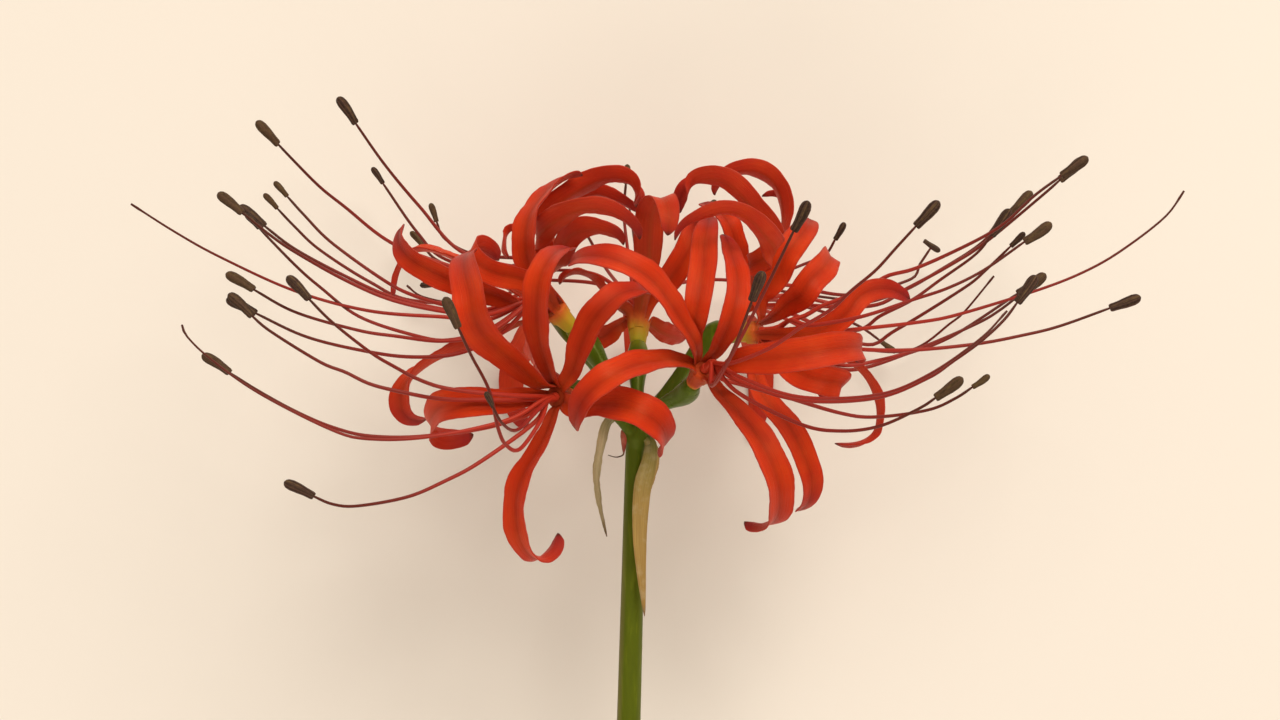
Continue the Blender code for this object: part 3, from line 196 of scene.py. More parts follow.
# Each floret: the centre of its mouth, the way it faces, its tepals, and its six filaments and style.
# They are given by the points that they pass through from the mouth outwards, in threes of numbers.
FLORETS = {
    "front_left": {"mouth": (-16.2, 7.6, 16), "faces": (-0.5, -0.05, 0.86), "tepals": [
        rib(-17.6, 2, 19, -20, -3, 21, -23.3, -9, 22.5, -24.3, -15, 22.5, -23.2, -21.6, 21, -19.8, -25, 18,
            -16.4, -22.8, 15, -15.6, -19.6, 13.5),
        rib(-12, 5.8, 20, -6, 6.2, 24, 0, 5, 26.5, 4.4, 2.2, 25, 5.8, -1, 21.5, 4.4, -3.8, 18, width=7.6),
        rib(-17.6, 12.4, 19.5, -19.4, 18, 22, -20, 23, 25, -20, 27, 27, -19.6, 31, 28, -18, 34.6, 27,
            -15.6, 37, 23, -12.8, 37.6, 18, width=6),
        rib(-13.2, 12.2, 18.5, -11.2, 18, 21, -9.2, 22.4, 22, -6.4, 26, 21, -3.2, 28.4, 19, 0.6, 29.2, 15,
            2.8, 28.6, 12, width=6.2),
        rib(-19.6, 10.4, 21, -24, 14, 26, -28, 17.4, 31, -31.2, 20.6, 36, -33, 24.4, 39, -33.4, 28.2, 38.5,
            -34.4, 32, 35.5, -34.6, 35.4, 30.5, -32.6, 37, 25, width=7),
        rib(-22, 7.4, 19.5, -27, 6.6, 23, -32, 6.4, 25.5, -36.6, 6.2, 25, -40, 5, 21.5, -41.4, 2, 17.5,
            -39.4, -0.4, 15, -35.4, -0.6, 13.5, -32.6, 0, 13, width=6.4),
    ], "threads": [
        thread(LARGE, -20.4, 2.6, 23, -31.4, -5.4, 29, -38.4, -9.2, 32, -46, -12.4, 34, -56, -14.2, 35,
            -61, -13.8, 34, -65.2, -12, 33),
        thread(LARGE, -27.4, 2.2, 21, -42, -0.2, 26, -53.4, -0.2, 28, -61, 1.6, 28, -68.4, 4.8, 27,
            -76, 9, 26, -82, 12.8, 25),
        thread(LARGE, -19.2, 3, 25, -23.4, -2.8, 31, -26.2, -2, 35, -27.8, 1.4, 39, -29.6, 9, 45,
            -33.2, 16, 49, -36, 22, 51),
        thread(SMALL, -19.8, 5, 27, -24, 1, 36, -27, 2.4, 43, -29, 6, 47),
        thread(LARGE, -26, 8, 27, -37.4, 9.2, 31, -43.4, 11, 31, -48.4, 13.6, 30, -53.4, 16.6, 28,
            -61, 22.6, 25, -66, 27.6, 23),
        thread(LARGE, -27, 6.8, 24, -39, 7.2, 28, -47, 8.6, 30, -53.4, 10.2, 31, -58.4, 12.6, 31,
            -63.4, 14.6, 31, -73.4, 20.8, 29, -77.4, 24.2, 28),
        thread(None, -27.4, 2.6, 25, -42, -0.4, 31, -53.4, -0.8, 34, -61, 1, 35, -76, 8.6, 34, -86, 15.8, 33,
            -90.2, 20, 32, -91, 22, 31),
    ]},
    "front_right": {"mouth": (13.4, 13, 17), "faces": (0.4, 0.5, 0.77), "tepals": [
        rib(8.6, 15.2, 21, 1, 14.4, 28, -5, 12, 33, -9.6, 8.6, 33, -12, 4.6, 29.5, -12.6, 1, 25, width=6.2),
        rib(11.4, 18.4, 20.5, 9.2, 22.4, 24.5, 6.6, 26.4, 28.5, 4, 30, 31, 0.6, 32.8, 33, -3.4, 34.8, 33.5,
            -7.4, 35.8, 32.5, -11.4, 35.6, 30, -14, 34.2, 27, width=6.4),
        rib(11.6, 19.6, 20, 12, 25, 22, 12.8, 31, 20, 13.8, 37, 15, 14.4, 41.4, 10, 14.4, 44, 5, width=5.4),
        rib(17, 19, 21, 18.8, 23, 24.5, 20, 27.4, 24, 20, 32.4, 20, 18.4, 37, 15,
            16.8, 40.6, 10.5, width=5.2),
        rib(19.4, 14.6, 23, 28, 15.4, 27, 36, 16.6, 27.5, 42, 17.6, 24, 45, 17.2, 19,
            44, 14.6, 15.5, width=6.6),
        rib(16.4, 8.6, 20.5, 21.6, 3.2, 24, 26.2, -3.8, 27, 28.5, -10.6, 26, 28, -16.6, 21, 24.6, -18.4, 17,
            21.4, -17.6, 14.5, width=6.6),
    ], "threads": [
        thread(LARGE, 15.2, 10.4, 25, 17.8, 14, 33, 21.6, 21, 40, 26.6, 31, 46, 31.6, 41.4, 50),
        thread(LARGE, 14.8, 10, 28, 16.8, 12, 38, 19.8, 18.4, 46, 23.2, 27.4, 51),
        thread(LARGE, 19, 14.4, 29, 26.6, 17.4, 35, 32.6, 21.4, 39, 38.6, 25, 41, 43, 29, 42, 47.8, 33, 43,
            51.8, 37.4, 43, 56.2, 42.2, 43),
        thread(LARGE, 20, 8.6, 27, 32.6, 2.2, 34, 40.6, 0.8, 38, 48.6, 1.8, 41, 56.6, 5.4, 43, 60.2, 7.8, 44),
        thread(SMALL, 20, 10.6, 22, 28.6, 8, 24, 40.6, 4.4, 27, 47.8, 3.6, 28, 58.2, 5, 29, 63.8, 7.4, 29,
            67.4, 9.8, 29),
        thread(LARGE, 20, 11, 26, 32.6, 7, 32, 47.8, 7.4, 36, 58.2, 11.4, 36, 63, 14.6, 35, 68.6, 18.6, 34,
            73.4, 23, 32, 76.4, 27, 31),
        thread(None, 21, 11.4, 29, 32.6, 7.6, 36, 47.8, 8, 40, 58.2, 12, 40, 68.6, 19.2, 38, 74, 24.8, 35),
    ]},
    "left": {"mouth": (-16.4, 25, -1), "faces": (-0.66, 0.69, 0.3), "tepals": [
        rib(-19.4, 31, 0, -21.8, 34.6, 2, -22.4, 39, 3, -21.6, 43.4, 2, -19.4, 47.2, 0, -16.8, 50, -2,
            -14, 51.6, -4, -11, 51.8, -6, width=6.2, across=(0.72, 0.3, 0.6)),
        rib(-18.4, 28.4, 6.5, -22.6, 31, 9.5, -27, 32, 11, -31, 33.6, 12.5, -33.6, 36.6, 11, -31.4, 38, 6.5,
            -28.8, 36.8, 2.5, -27.8, 35, 0, width=5),
        rib(-26, 27, 1, -32.4, 29, 5, -37.4, 31, 8, -41.4, 32.8, 9, -45.4, 35.2, 8, -47.6, 38, 5.5,
            -47.6, 40.4, 3.5, -46.8, 42.4, 2, width=5.4),
        rib(-24.6, 29, -6, -33, 33.6, -6, -40, 37, -6, -45.4, 36.8, -7, -48, 33, -8.5, -48.8, 29.4, -9,
            -49, 27.4, -10, width=4.4),
        rib(-24, 22.4, 0, -31.8, 18, 3, -36.6, 17, 5, -41.4, 14.8, 6, -45.4, 11.6, 5.5, -47.2, 8, 4.5,
            -47, 5, 3, -45, 3, 1.5, -41.8, 3, 0, width=5.8, across=(0.6, 0.5, 0.6)),
        rib(-20, 19.6, -5, -21, 15.6, -10, -19.4, 12.6, -15, -15.4, 11.6, -19),
    ], "threads": [
        thread(LARGE, -30, 24, 10, -38, 24.6, 13, -49, 27, 15, -58.4, 31, 15, -68.4, 36.6, 13, -73.4, 40, 12,
            -79.4, 44.8, 10),
        thread(LARGE, -30, 24.4, 5, -38, 25, 6, -49, 27.6, 6, -58.4, 31.8, 5, -68.4, 37.2, 4, -75, 42.2, 3),
        thread(SMALL, -20.8, 27.2, 4.5, -29, 21.4, 7, -37.4, 19, 9, -44, 19.8, 11, -55.4, 23.6, 12,
            -63.4, 29.6, 12, -68.4, 34, 11, -75.8, 41.6, 9),
        thread(SMALL, -30, 25, -1, -37.4, 25.8, -2, -44.4, 27.8, -3, -50.4, 30.8, -4, -61, 38.4, -5,
            -66.4, 43.8, -6, -70.2, 48, -7),
        thread(LARGE, -20.6, 27.4, 6, -29, 20.8, 11, -38.4, 18.8, 15, -48.4, 19.8, 18, -56, 21, 19,
            -68.4, 24.6, 18, -77.2, 29.4, 16),
        thread(LARGE, -20.6, 27, 5, -27, 20.4, 8, -35.4, 16.4, 10, -44.4, 15.6, 12, -53.4, 16.6, 12,
            -66, 19.6, 11, -76.8, 24.6, 10),
        thread(None, -30, 23, 7, -38.4, 23.6, 9, -53.4, 24.8, 12, -68.4, 28.8, 12, -83.4, 35.6, 9,
            -92.4, 40.6, 7, -101.2, 46.2, 5),
    ]},
    "back_left": {"mouth": (-20.4, 29.6, -17), "faces": (-0.5, 0.6, -0.62), "tepals": [
        rib(-17.4, 36, -13, -18.6, 41, -10.5, -17.8, 45, -9, -14.6, 47.6, -8, -11.4, 49.8, -7.5,
            -7.4, 51.6, -7.5, -3.4, 51.8, -8, -0.8, 50.4, -9, 0.4, 47.8, -10.5,
            0, 45.4, -12, width=5.8, across=(-0.3, 0.6, 0.74)),
        rib(-18.4, 36, -9, -19.6, 39.4, -3, -18, 42, 2, -15, 44, 6, -11.4, 45.4, 8, -7.4, 45.6, 8.5,
            -3.4, 44.2, 7.5, -0.6, 42, 6, 0.8, 39.2, 4.5, width=5.4, across=(0, 0.6, 0.8)),
        rib(-15.6, 36, -10, -13.8, 39.4, -5, -11.4, 41.2, -1, -8.6, 41.6, 1, -5.6, 41, 2, -3.4, 39.8, 2,
            -2.4, 38, 2, width=5, across=(0, 0.7, 0.7)),
        rib(-20, 36, -20, -22.6, 40, -21, -24.6, 41.6, -21, -26.4, 40.4, -21, -26.8, 38.6, -20,
            -26.6, 36.6, -19, -25.8, 35, -18.5, width=3.2),
        rib(-17, 26, -20, -20, 22, -30, -23, 17, -38, -25, 11, -43, -24, 5, -42, -22, 1, -39, rests=True),
        rib(-15.6, 37, -18, -14.6, 42.6, -17, -12.4, 46.6, -16, -9.6, 48.4, -15, -7.2, 48.6, -14.5,
            -4.4, 47.6, -14.5, -1.6, 46.2, -15, 0, 44.8, -16, width=4.6, across=(0, 0.6, 0.8)),
    ], "threads": [
        thread(LARGE, -24, 30, -20, -38, 34, -20, -49.4, 38.6, -18, -58.4, 45.6, -15, -63.4, 49.6, -13,
            -68.4, 54.6, -10, -72.2, 58.6, -8),
        thread(LARGE, -22, 33, -23, -35, 36.6, -27, -43.4, 45.6, -27, -50.4, 54, -25, -56.6, 62.8, -23),
        thread(SMALL, -23, 31, -29, -38, 35, -35, -44, 40.6, -36, -51, 50.6, -36),
        thread(SMALL, -26, 27, -22, -44.4, 26.8, -22, -53.4, 30.6, -21, -63.4, 37, -19, -68.4, 41.6, -18,
            -72.2, 45.6, -17),
        thread(SMALL, -22, 34, -30, -34, 33, -37, -40, 35, -38, -43, 38, -38),
        thread(SMALL, -20, 35, -26, -32, 36, -34, -38.4, 39.2, -36, -40.2, 43, -36),
        thread(None, -24, 29, -30, -34, 26.4, -36, -42, 27.4, -38, -46, 30, -38),
    ]},
    "back": {"mouth": (0.3, 22.6, -12), "faces": (0.02, 0.85, -0.52), "tepals": [
        rib(0.8, 29, -9, 2.2, 34, -6, 2.4, 39, -2, 2.8, 44, 2, 4, 47.2, 6, 5.6, 47, 9.5, 6.4, 43.6, 12,
            6.2, 39.8, 12.5, width=6),
        rib(-3.8, 22, -12.4, -6.2, 20, -13.6, -8.6, 18.8, -16,
            -10.4, 18.4, -20, width=4.4, across=(-0.2, 1, 0.2)),
        rib(-4, 26.8, -10, -6.8, 29.4, -9, -9, 31.8, -8, -12, 32.8, -7, -14.6, 32, -7,
            -15.8, 30.2, -7, width=5.4),
        rib(3, 28, -11, 6.4, 31, -9, 9.2, 35, -8, 11.2, 39.4, -9, 12.4, 43, -12,
            12.8, 45, -15, width=5.4, across=(1, -0.5, 0.3)),
        rib(3.2, 22.2, -14, 5.4, 20.6, -16, 7.6, 19.8, -19, 9.4, 19.4, -23, width=4.4, across=(0.4, 1, 0.2)),
        rib(-1, 27, -21, -1, 26, -30, -1, 22, -37, -1, 16, -41, -1, 11, -41.6, width=3.6),
    ], "threads": [
        thread(SMALL, -1.6, 35, -20, -2.6, 44, -26, -2.2, 50.6, -27),
        thread(SMALL, -8, 32, -20, -18, 33, -25, -24, 32.6, -26, -27.6, 32, -26),
        thread(SMALL, -7, 30, -28, -18, 31, -36, -30, 31, -40, -40, 30, -39),
        thread(SMALL, -6, 33, -30, -10, 40, -37, -13, 43.6, -39),
        thread(SMALL, 7, 30, -29, 18, 31, -38, 30, 28.6, -38, 42, 27, -38),
        thread(SMALL, 6, 34, -30, 10, 41, -37, 13.4, 44.6, -39),
        thread(None, 0, 34, -30, -1, 42, -37, -1.6, 46, -39),
    ]},
    "back_right": {"mouth": (20.2, 23.4, -11), "faces": (0.5, 0.58, -0.64), "tepals": [
        rib(27.6, 36, -9.5, 29.2, 40, -9, 29.6, 44, -8, 29.2, 47.6, -7, 27.8, 50.6, -6, 25, 52.8, -5.5,
            21.6, 53.4, -5, 18.6, 52.6, -5.5, 16.2, 50.6, -6.5,
            15.2, 48, -8, width=5, across=(0.15, 0.7, 0.7)),
        rib(22.8, 32.4, -5, 27, 37.6, 0, 26.4, 41, 3, 24.4, 44.2, 5.5, 22.2, 47, 7, 20, 49.4, 8,
            17.4, 51.2, 8, 14.6, 51.6, 7, 11.8, 51, 5, 9.6, 49.2, 3, 8.4, 46.6, 1,
            8.4, 44.2, 0, width=5.6, across=(0.6, 0.4, 0.7)),
        rib(22.2, 31.6, -1, 26.4, 34.6, 6, 27.4, 37.6, 12, 26, 40, 16, 23.6, 42.8, 18, 20.8, 44.6, 19.5,
            17.6, 45.2, 20, 14.4, 44.6, 20, 11.4, 43.4, 19.5, 8.8, 41.8, 18.5,
            7.2, 39, 17, width=5, across=(0.3, 0.55, 0.77)),
        rib(20.4, 33, -8, 19.8, 38, -5, 18.6, 42, -4, 16, 45, -6, 12.6, 46.6, -10, width=5),
        rib(20.6, 24, -19, 22.6, 21, -30, 24, 16, -38, 24.6, 10, -43, 24, 4, -42, 23, 0, -39, rests=True),
        rib(22.6, 31.6, -14, 27.4, 36, -15.5, 29.8, 40, -15, 30.2, 44, -14, 29.4, 47.2, -13,
            27.4, 48.4, -12.4, 24.8, 48, -12, width=4, across=(0, 0.4, 0.9)),
    ], "threads": [
        thread(SMALL, 26, 31, -20, 33, 34, -26, 37.6, 36, -29, 39.8, 39.4, -29),
        thread(LARGE, 30, 26, -11, 46.6, 25.8, -9, 53.8, 29.2, -10, 63, 34.2, -11, 69.8, 38.6, -12,
            81.4, 48.2, -12, 85, 51.4, -12),
        thread(LARGE, 30, 28, -18, 42, 26, -20, 52.6, 28.6, -21, 60.6, 33, -22, 68.6, 38.2, -24,
            75, 44.6, -25),
        thread(SWUNG, 28, 30, -22, 42, 28, -31, 54.4, 31, -35, 56.6, 34.2, -36, 59, 37.8, -37),
        thread(SMALL, 29, 25, -20, 45, 18.2, -26, 51.8, 21, -27, 65.4, 29.4, -27, 69.8, 33, -27, 75, 38, -26),
        thread(SMALL, 27, 27, -27, 36, 25, -35, 44, 22, -37, 49, 18.6, -37),
        thread(None, 28, 24, -25, 40, 18.4, -33, 54, 16.8, -37, 63, 22.6, -37, 65.8, 25, -37,
            71.4, 31.8, -36),
    ]},
    "right": {"mouth": (24.4, 20.6, 1), "faces": (0.9, 0.08, 0.4), "tepals": [
        rib(31, 18.6, 2, 36, 17.4, 3, 40.6, 16, 3.5, 44.2, 13.8, 3.5, 46.6, 11, 3, 48.2, 7.4, 2, 48.6, 4, 1,
            48, 0.6, 0, 45.8, -1.4, -0.5, 42.6, -2.2, -1,
            39.4, -2, -1.5, width=4.2, across=(0.25, 0.2, 0.95)),
        rib(28.8, 15.6, 5, 33, 12.2, 9, 37.6, 10.8, 10.5, 41, 10.2, 8.5, 40, 8.6, 5.4, 36, 8.6, 3.4, width=6),
        rib(25.4, 28.4, 3, 27, 32.2, 4, 29.4, 35.8, 4.4, 31.8, 38.8, 3.6, 34, 41.6, 1,
            34.8, 43.4, -3, width=5.8),
        rib(28.6, 26.4, 1, 31.8, 29, 3.4, 34.8, 31.2, 3.4, 37.4, 33.6, 0.5, 38.8, 35.8, -3.5,
            38.4, 35.4, -8, width=5.8),
        rib(30, 20.4, 6, 36, 20.6, 9, 41.6, 24, 10, 44.2, 27.4, 9, 47, 29, 7, 50.2, 29.4, 4, 53, 28.2, 2,
            54.8, 27, 1, width=4.6),
        rib(23.6, 14.6, 4, 24.4, 9.4, 7, 27, 5.4, 9, 30, 2.4, 10.5, 32, -1, 11, 33.8, -5, 11, 35, -9, 10,
            34.4, -13.4, 7, 31.8, -15.6, 3, width=5),
    ], "threads": [
        thread(LARGE, 33, 18.6, 6, 43.8, 17.2, 9, 55, 17, 10, 67.8, 18.2, 9, 77.4, 20, 8, 84.6, 21.8, 7,
            95.2, 25.6, 6),
        thread(LARGE, 33, 21.6, 11, 44.6, 23.6, 16, 55, 27, 16, 62.2, 29.4, 16, 69.4, 33, 15, 78, 39, 14),
        thread(LARGE, 32, 24, 2, 41.8, 27.6, 3, 49.8, 31, 4, 60.6, 35.4, 4, 72.2, 41.4, 4, 79.4, 47.8, 3,
            85.4, 52.2, 2),
        thread(LARGE, 33, 20.4, -2, 44.2, 21, -3, 48.6, 23.8, -4, 55, 27, -5, 60.6, 31, -6, 67.8, 36.2, -6,
            71.2, 40.4, -6),
        thread(LARGE, 32, 17, -3, 42.2, 13, -5, 55, 16.6, -8, 60.6, 18.6, -9, 65.8, 21.4, -10,
            76.6, 28.6, -12),
        thread(LARGE, 32, 17.4, 6, 40.6, 14, 9, 48.6, 15, 8, 56.6, 17.4, 5, 67.8, 22.2, 2, 72.6, 25, 1,
            77.2, 28.6, 0),
        thread(None, 33, 20.2, 5, 44.2, 21.2, 7, 56.6, 22.6, 8, 64.6, 24.2, 8, 81.4, 29.4, 7, 91, 33.4, 6,
            98.2, 37.8, 5, 105.8, 43.8, 4, 109.4, 48.8, 3),
    ]},
}

# The two papery bracts below the umbel, drawn like tepals from where they join the scape. The finer
# ones leave it by a root that stands for a share of their length, and the right one has a flap behind.
BRACTS = {
    "spathe_bract_right": {
        "rib": [(2.7, -1.6, 2.3), (2.4, -5, 4.4), (1.2, -10, 5.3), (0.6, -17, 5.3), (0.7, -25, 5),
                (1.5, -36.4, 4.3)],
        "width": 3.5, "across": (1, 0.05, 0.1),
        "root": [(1.3, -0.4, 1.6)], "root_share": 0.0,
        "flap": {"points": [(1.4, -0.2, 1.4), (2.8, -2.0, 2.0), (3.3, -5.0, 2.4), (2.6, -9.0, 2.8),
                            (1.8, -13.2, 3.2)],
                 "width": 2.8, "across": (1, 0.1, -0.5)},
    },
    "spathe_bract_left": {
        "rib": [(-2.8, 0.2, 0.6), (-4.4, 1.8, 1.2), (-6, 1.4, 1.8), (-7.3, -2, 2), (-8.2, -8, 2),
                (-7.6, -14, 1), (-6.2, -20.4, 0)],
        "width": 2.2, "across": (0.8, -0.1, -0.6),
        "root": [(-1.3, 0.6, 0.2), (-2.6, 2.6, 0.2), (-4.4, 3.7, 0.6), (-6.2, 2.2, 1.2)], "root_share": 0.3,
    },
}


def true_place(points):
    """Where points lie that are drawn as the eye sees them."""
    p = np.array(points, float)
    nearer = p[..., 2:] / EYE_DISTANCE
    p[..., :2] -= (p[..., :2] - EYE_OVER) * nearer
    return p


def unit(v):
    v = np.asarray(v, float)
    return v / max(np.linalg.norm(v), 1e-9)


def lengths(path):
    """How far along a path each of its points lies."""
    return np.r_[0, np.cumsum(np.linalg.norm(np.diff(path, axis=0), axis=1))]


def read_off(rows, known, wanted):
    """The rows at the wanted places, between the given rows, which lie at the known ones."""
    return np.stack([np.interp(wanted, known, column) for column in rows.T], axis=1)


def spread_evenly(path, count):
    along = lengths(path)
    return read_off(path, along, np.linspace(0, along[-1], count))


def resampled(rows, where):
    return read_off(rows, np.linspace(0, 1, len(rows)), where)


def softened(rows, rounds):
    for _ in range(rounds):
        padded = np.vstack([rows[:1], rows, rows[-1:]])
        rows = (padded[:-2] + 2 * padded[1:-1] + padded[2:]) / 4
    return rows


def smooth_path(points, count):
    """count points, evenly spaced along a smooth curve through the given ones."""
    p = np.asarray(points, float)
    ends = np.vstack([2 * p[0] - p[1], p, 2 * p[-1] - p[-2]])
    fine = []
    for i in range(1, len(ends) - 2):
        a, b, c, d = ends[i - 1 : i + 3]
        for t in np.linspace(0, 1, CURVE_STEPS, endpoint=False):
            fine.append(0.5 * (2 * b + (c - a) * t + (2 * a - 5 * b + 4 * c - d) * t**2
                               + (3 * b - a - 3 * c + d) * t**3))
    return spread_evenly(np.array(fine + [p[-1]]), count)


def tangents(path):
    t = np.gradient(path, axis=0)
    return t / np.linalg.norm(t, axis=1)[:, None]


def square_to(t, w):
    """The directions w, made square to the tangents t."""
    w = w - t * np.sum(w * t, axis=1)[:, None]
    return w / np.linalg.norm(w, axis=1)[:, None]


def blade_frame(path, root_side, across):
    """Width and face directions of a blade that curls in one plane, its upper face outside the curl."""
    t = tangents(path)
    if across is None:
        # Square to the plane of the curl, where the path isn't too straight to have one
        _, spread, directions = np.linalg.svd(path - path.mean(0))
        across = directions[2] if spread[1] > 0.08 * spread[0] else root_side
    across = np.asarray(across, float)
    if np.sum(np.cross(across, t) * np.gradient(t, axis=0)) > 0:
        across = -across
    q = np.clip((lengths(path) - TURN_START) / TURN_LENGTH, 0, 1)[:, None]
    q = q * q * (3 - 2 * q)
    if root_side @ across < 0:
        root_side = -root_side
    w = square_to(t, (1 - q) * root_side + q * across)
    return w, np.cross(w, t)


class Organ:
    """One tepal, bract, filament or stalk while the flower is being arranged."""

    def __init__(self, node, floret, path, radius, fixed=False):
        self.node = node
        self.floret = floret
        self.path = path
        self.radius = radius
        self.fixed = fixed
        self.half_width = None
        self.anther = None
        self.reach = 0.0
        self.clearance = radius + GAP

    def as_blade(self, profile, width, channel, root_side, across):
        self.half_width = profile(np.linspace(0, 1, len(self.path)), width)
        self.width = width
        self.channel = channel
        self.root_side = root_side
        self.across = across
        self.turn_faces()

    def turn_faces(self):
        if self.half_width is not None:
            self.w, self.n = blade_frame(self.path, self.root_side, self.across)

    def samples(self):
        """Points that stand for the organ's body, one row of them for each station."""
        if self.half_width is None:
            rows = self.path[:, None, :]
            if self.reach:
                rows = np.repeat(rows, 3, axis=1)
                outward = self.reach * unit(self.path[-1] - self.path[-2])
                rows[-1, 1:] += np.array([0.5 * outward, outward])
            return rows
        steps = np.linspace(-0.9, 0.9, 5)
        lift = self.channel * self.half_width / (0.5 * TEPAL_WIDTH)
        out = self.w[:, None, :] * (self.half_width[:, None] * steps)[:, :, None]
        up = self.n[:, None, :] * (lift[:, None] * np.abs(steps) - 0.5 * TEPAL_THICKNESS)[:, :, None]
        return self.path[:, None, :] + out + up


def tepal_half_width(s, width):
    """Narrow at its claw, widest at the middle, and drawn in to a short blunt point."""
    claw = 0.30 + 0.70 * np.sin(0.5 * np.pi * np.clip(s / 0.5, 0, 1)) ** 1.4
    tip = np.sqrt(1 - np.clip((s - 0.6) / 0.42, 0, 1) ** 2)
    return 0.5 * width * claw * tip


def bract_half_width(s, width):
    broad = np.clip(0.55 + 0.75 * np.sin(np.pi * s * 0.8), 0, 1)
    return 0.5 * width * broad * np.clip(1.06 - s**2.2, 0.1, 1)


def opening(floret):
    """Where a floret's mouth lies, and the direction that it faces."""
    return true_place(floret["mouth"]), unit(floret["faces"])


def rooted(floret, points, root, count):
    """A path out of a floret's mouth through the points, and the sideways direction at its root."""
    mouth, axis = opening(floret)
    points = true_place(points)
    first = points[0] - mouth
    radial = unit(first - axis * (first @ axis))
    start = [mouth + up * axis + out * radial for up, out in root]
    return smooth_path(np.vstack([start, points]), count), np.cross(axis, radial)


def floret_organs(name, floret):
    """The tepals, filaments and style of one floret, before they are bent clear of the others."""
    organs = []
    for tepal in floret["tepals"]:
        path, side = rooted(floret, tepal["rib"], TEPAL_ROOT, BLADE_STATIONS)
        organ = Organ("perianth_" + name, name, path, TEPAL_ROOM)
        organ.as_blade(tepal_half_width, tepal["width"], TEPAL_CHANNEL, side, tepal["across"])
        if tepal["rests"]:
            organ.clearance = RESTING_CLEARANCE
        organs.append(organ)
    for anther, points in floret["threads"]:
        path, _ = rooted(floret, points, FILAMENT_ROOT if anther else STYLE_ROOT, THREAD_STATIONS)
        organ = Organ("stamens_" + name, name, path, THREAD_ROOM)
        organ.anther = anther
        organ.reach = ANTHER_REACH.get(anther, 0.0)
        organs.append(organ)
    return organs


def stalk_path(floret):
    """A pedicel's centre line, from the scape's head to the foot of the floret's tube."""
    mouth, axis = opening(floret)
    foot = mouth - TUBE_LENGTH * axis
    leaving = unit(unit(foot) + np.array([0, 0.3, 0]))
    through = [(0, -1.0, 0), leaving * 7, foot - 5.5 * axis + 0.5 * leaving, foot - 1.6 * axis]
    return np.vstack([smooth_path(through, 10), foot - 0.8 * axis, foot])


def push_pair(a, b, pa, pb, box_a, box_b, memory):
    """Moves the stations of two organs apart along one shared direction where their bodies meet."""
    near = a.radius + b.radius
    flat_a, flat_b = pa.reshape(-1, 3), pb.reshape(-1, 3)
    near_b = ((flat_a > box_b[0] - near) & (flat_a < box_b[1] + near)).all(1)
    near_a = ((flat_b > box_a[0] - near) & (flat_b < box_a[1] + near)).all(1)
    if a.floret == b.floret:
        near_b &= np.repeat(a.away, pa.shape[1])
        near_a &= np.repeat(b.away, pb.shape[1])
    of_a, of_b = np.nonzero(near_b)[0], np.nonzero(near_a)[0]
    if not (len(of_a) and len(of_b)):
        return
    gap = flat_a[of_a][:, None, :] - flat_b[of_b][None, :, :]
    distance = np.sqrt((gap**2).sum(2))
    touching = distance < near
    if not touching.any():
        return
    i, j = np.nonzero(touching)
    gap, distance = gap[i, j], distance[i, j]
    i, j = of_a[i], of_b[j]
    depth = (near - distance) / np.maximum(distance, 1e-6)
    # Two organs keep mostly to the direction in which they were parted before, and part less sideways
    leaning = (gap * depth[:, None]).sum(0) * (0.6, 0.6, 1.0)
    key = (a.index, b.index)
    leaning = unit(unit(leaning) + 1.5 * memory.get(key, np.zeros(3)))
    memory[key] = leaning
    need = np.clip(near - gap @ leaning, 0, MOST_PUSH)
    if a.fixed or b.fixed:
        share_a = 0.0 if a.fixed else 1.0
    else:
        share_a = 0.5 + 0.3 * ((b.half_width is not None) - (a.half_width is not None))
    for organ, index, wide, share in ((a, i, pa.shape[1], share_a), (b, j, pb.shape[1], share_a - 1)):
        amount = np.zeros(len(organ.path))
        np.maximum.at(amount, index // wide, need)
        organ.shift += (amount * share)[:, None] * leaning


def floor_depth(y):
    """How deep the surface lies below the flower's middle plane, at a height y up the flower."""
    return -(BASE_HEIGHT + y * SIN_TILT) / COS_TILT


def bend_clear(organs):
    """Bends organs until none runs through another or through the surface, roots held."""
    memory = {}
    for index, organ in enumerate(organs):
        organ.index = index
        along = lengths(organ.path)
        organ.hold = np.clip((along - HELD_LENGTH) / EASING_LENGTH, 0, 1)
        organ.away = along > SHARED_LENGTH
    for _ in range(ROUNDS):
        bodies = [o.samples() for o in organs]
        boxes = [(b.reshape(-1, 3).min(0) - 1, b.reshape(-1, 3).max(0) + 1) for b in bodies]
        for organ in organs:
            organ.shift = np.zeros_like(organ.path)
        for i, a in enumerate(organs):
            for j in range(i + 1, len(organs)):
                b = organs[j]
                if a.fixed and b.fixed:
                    continue
                if a.floret == b.floret and a.half_width is None and b.half_width is None:
                    continue
                if (boxes[i][0] < boxes[j][1]).all() and (boxes[j][0] < boxes[i][1]).all():
                    push_pair(a, b, bodies[i], bodies[j], boxes[i], boxes[j], memory)
        for organ, body in zip(organs, bodies):
            if organ.fixed:
                continue
            lowest = (body[:, :, 2] - floor_depth(body[:, :, 1])).min(1)
            organ.shift[:, 2] += np.clip(organ.clearance - lowest, 0, MOST_LIFT)
            organ.path = organ.path + PUSH_SHARE * softened(organ.shift, 3) * organ.hold[:, None]
            organ.turn_faces()
    return organs


def scape_path(down):
    """Points on the scape's middle line, by their share of its length from the umbel to the cut."""
    return np.array([(SCAPE_LEAN * s**1.2 - 0.3, -SCAPE_LENGTH * s, 0) for s in down])


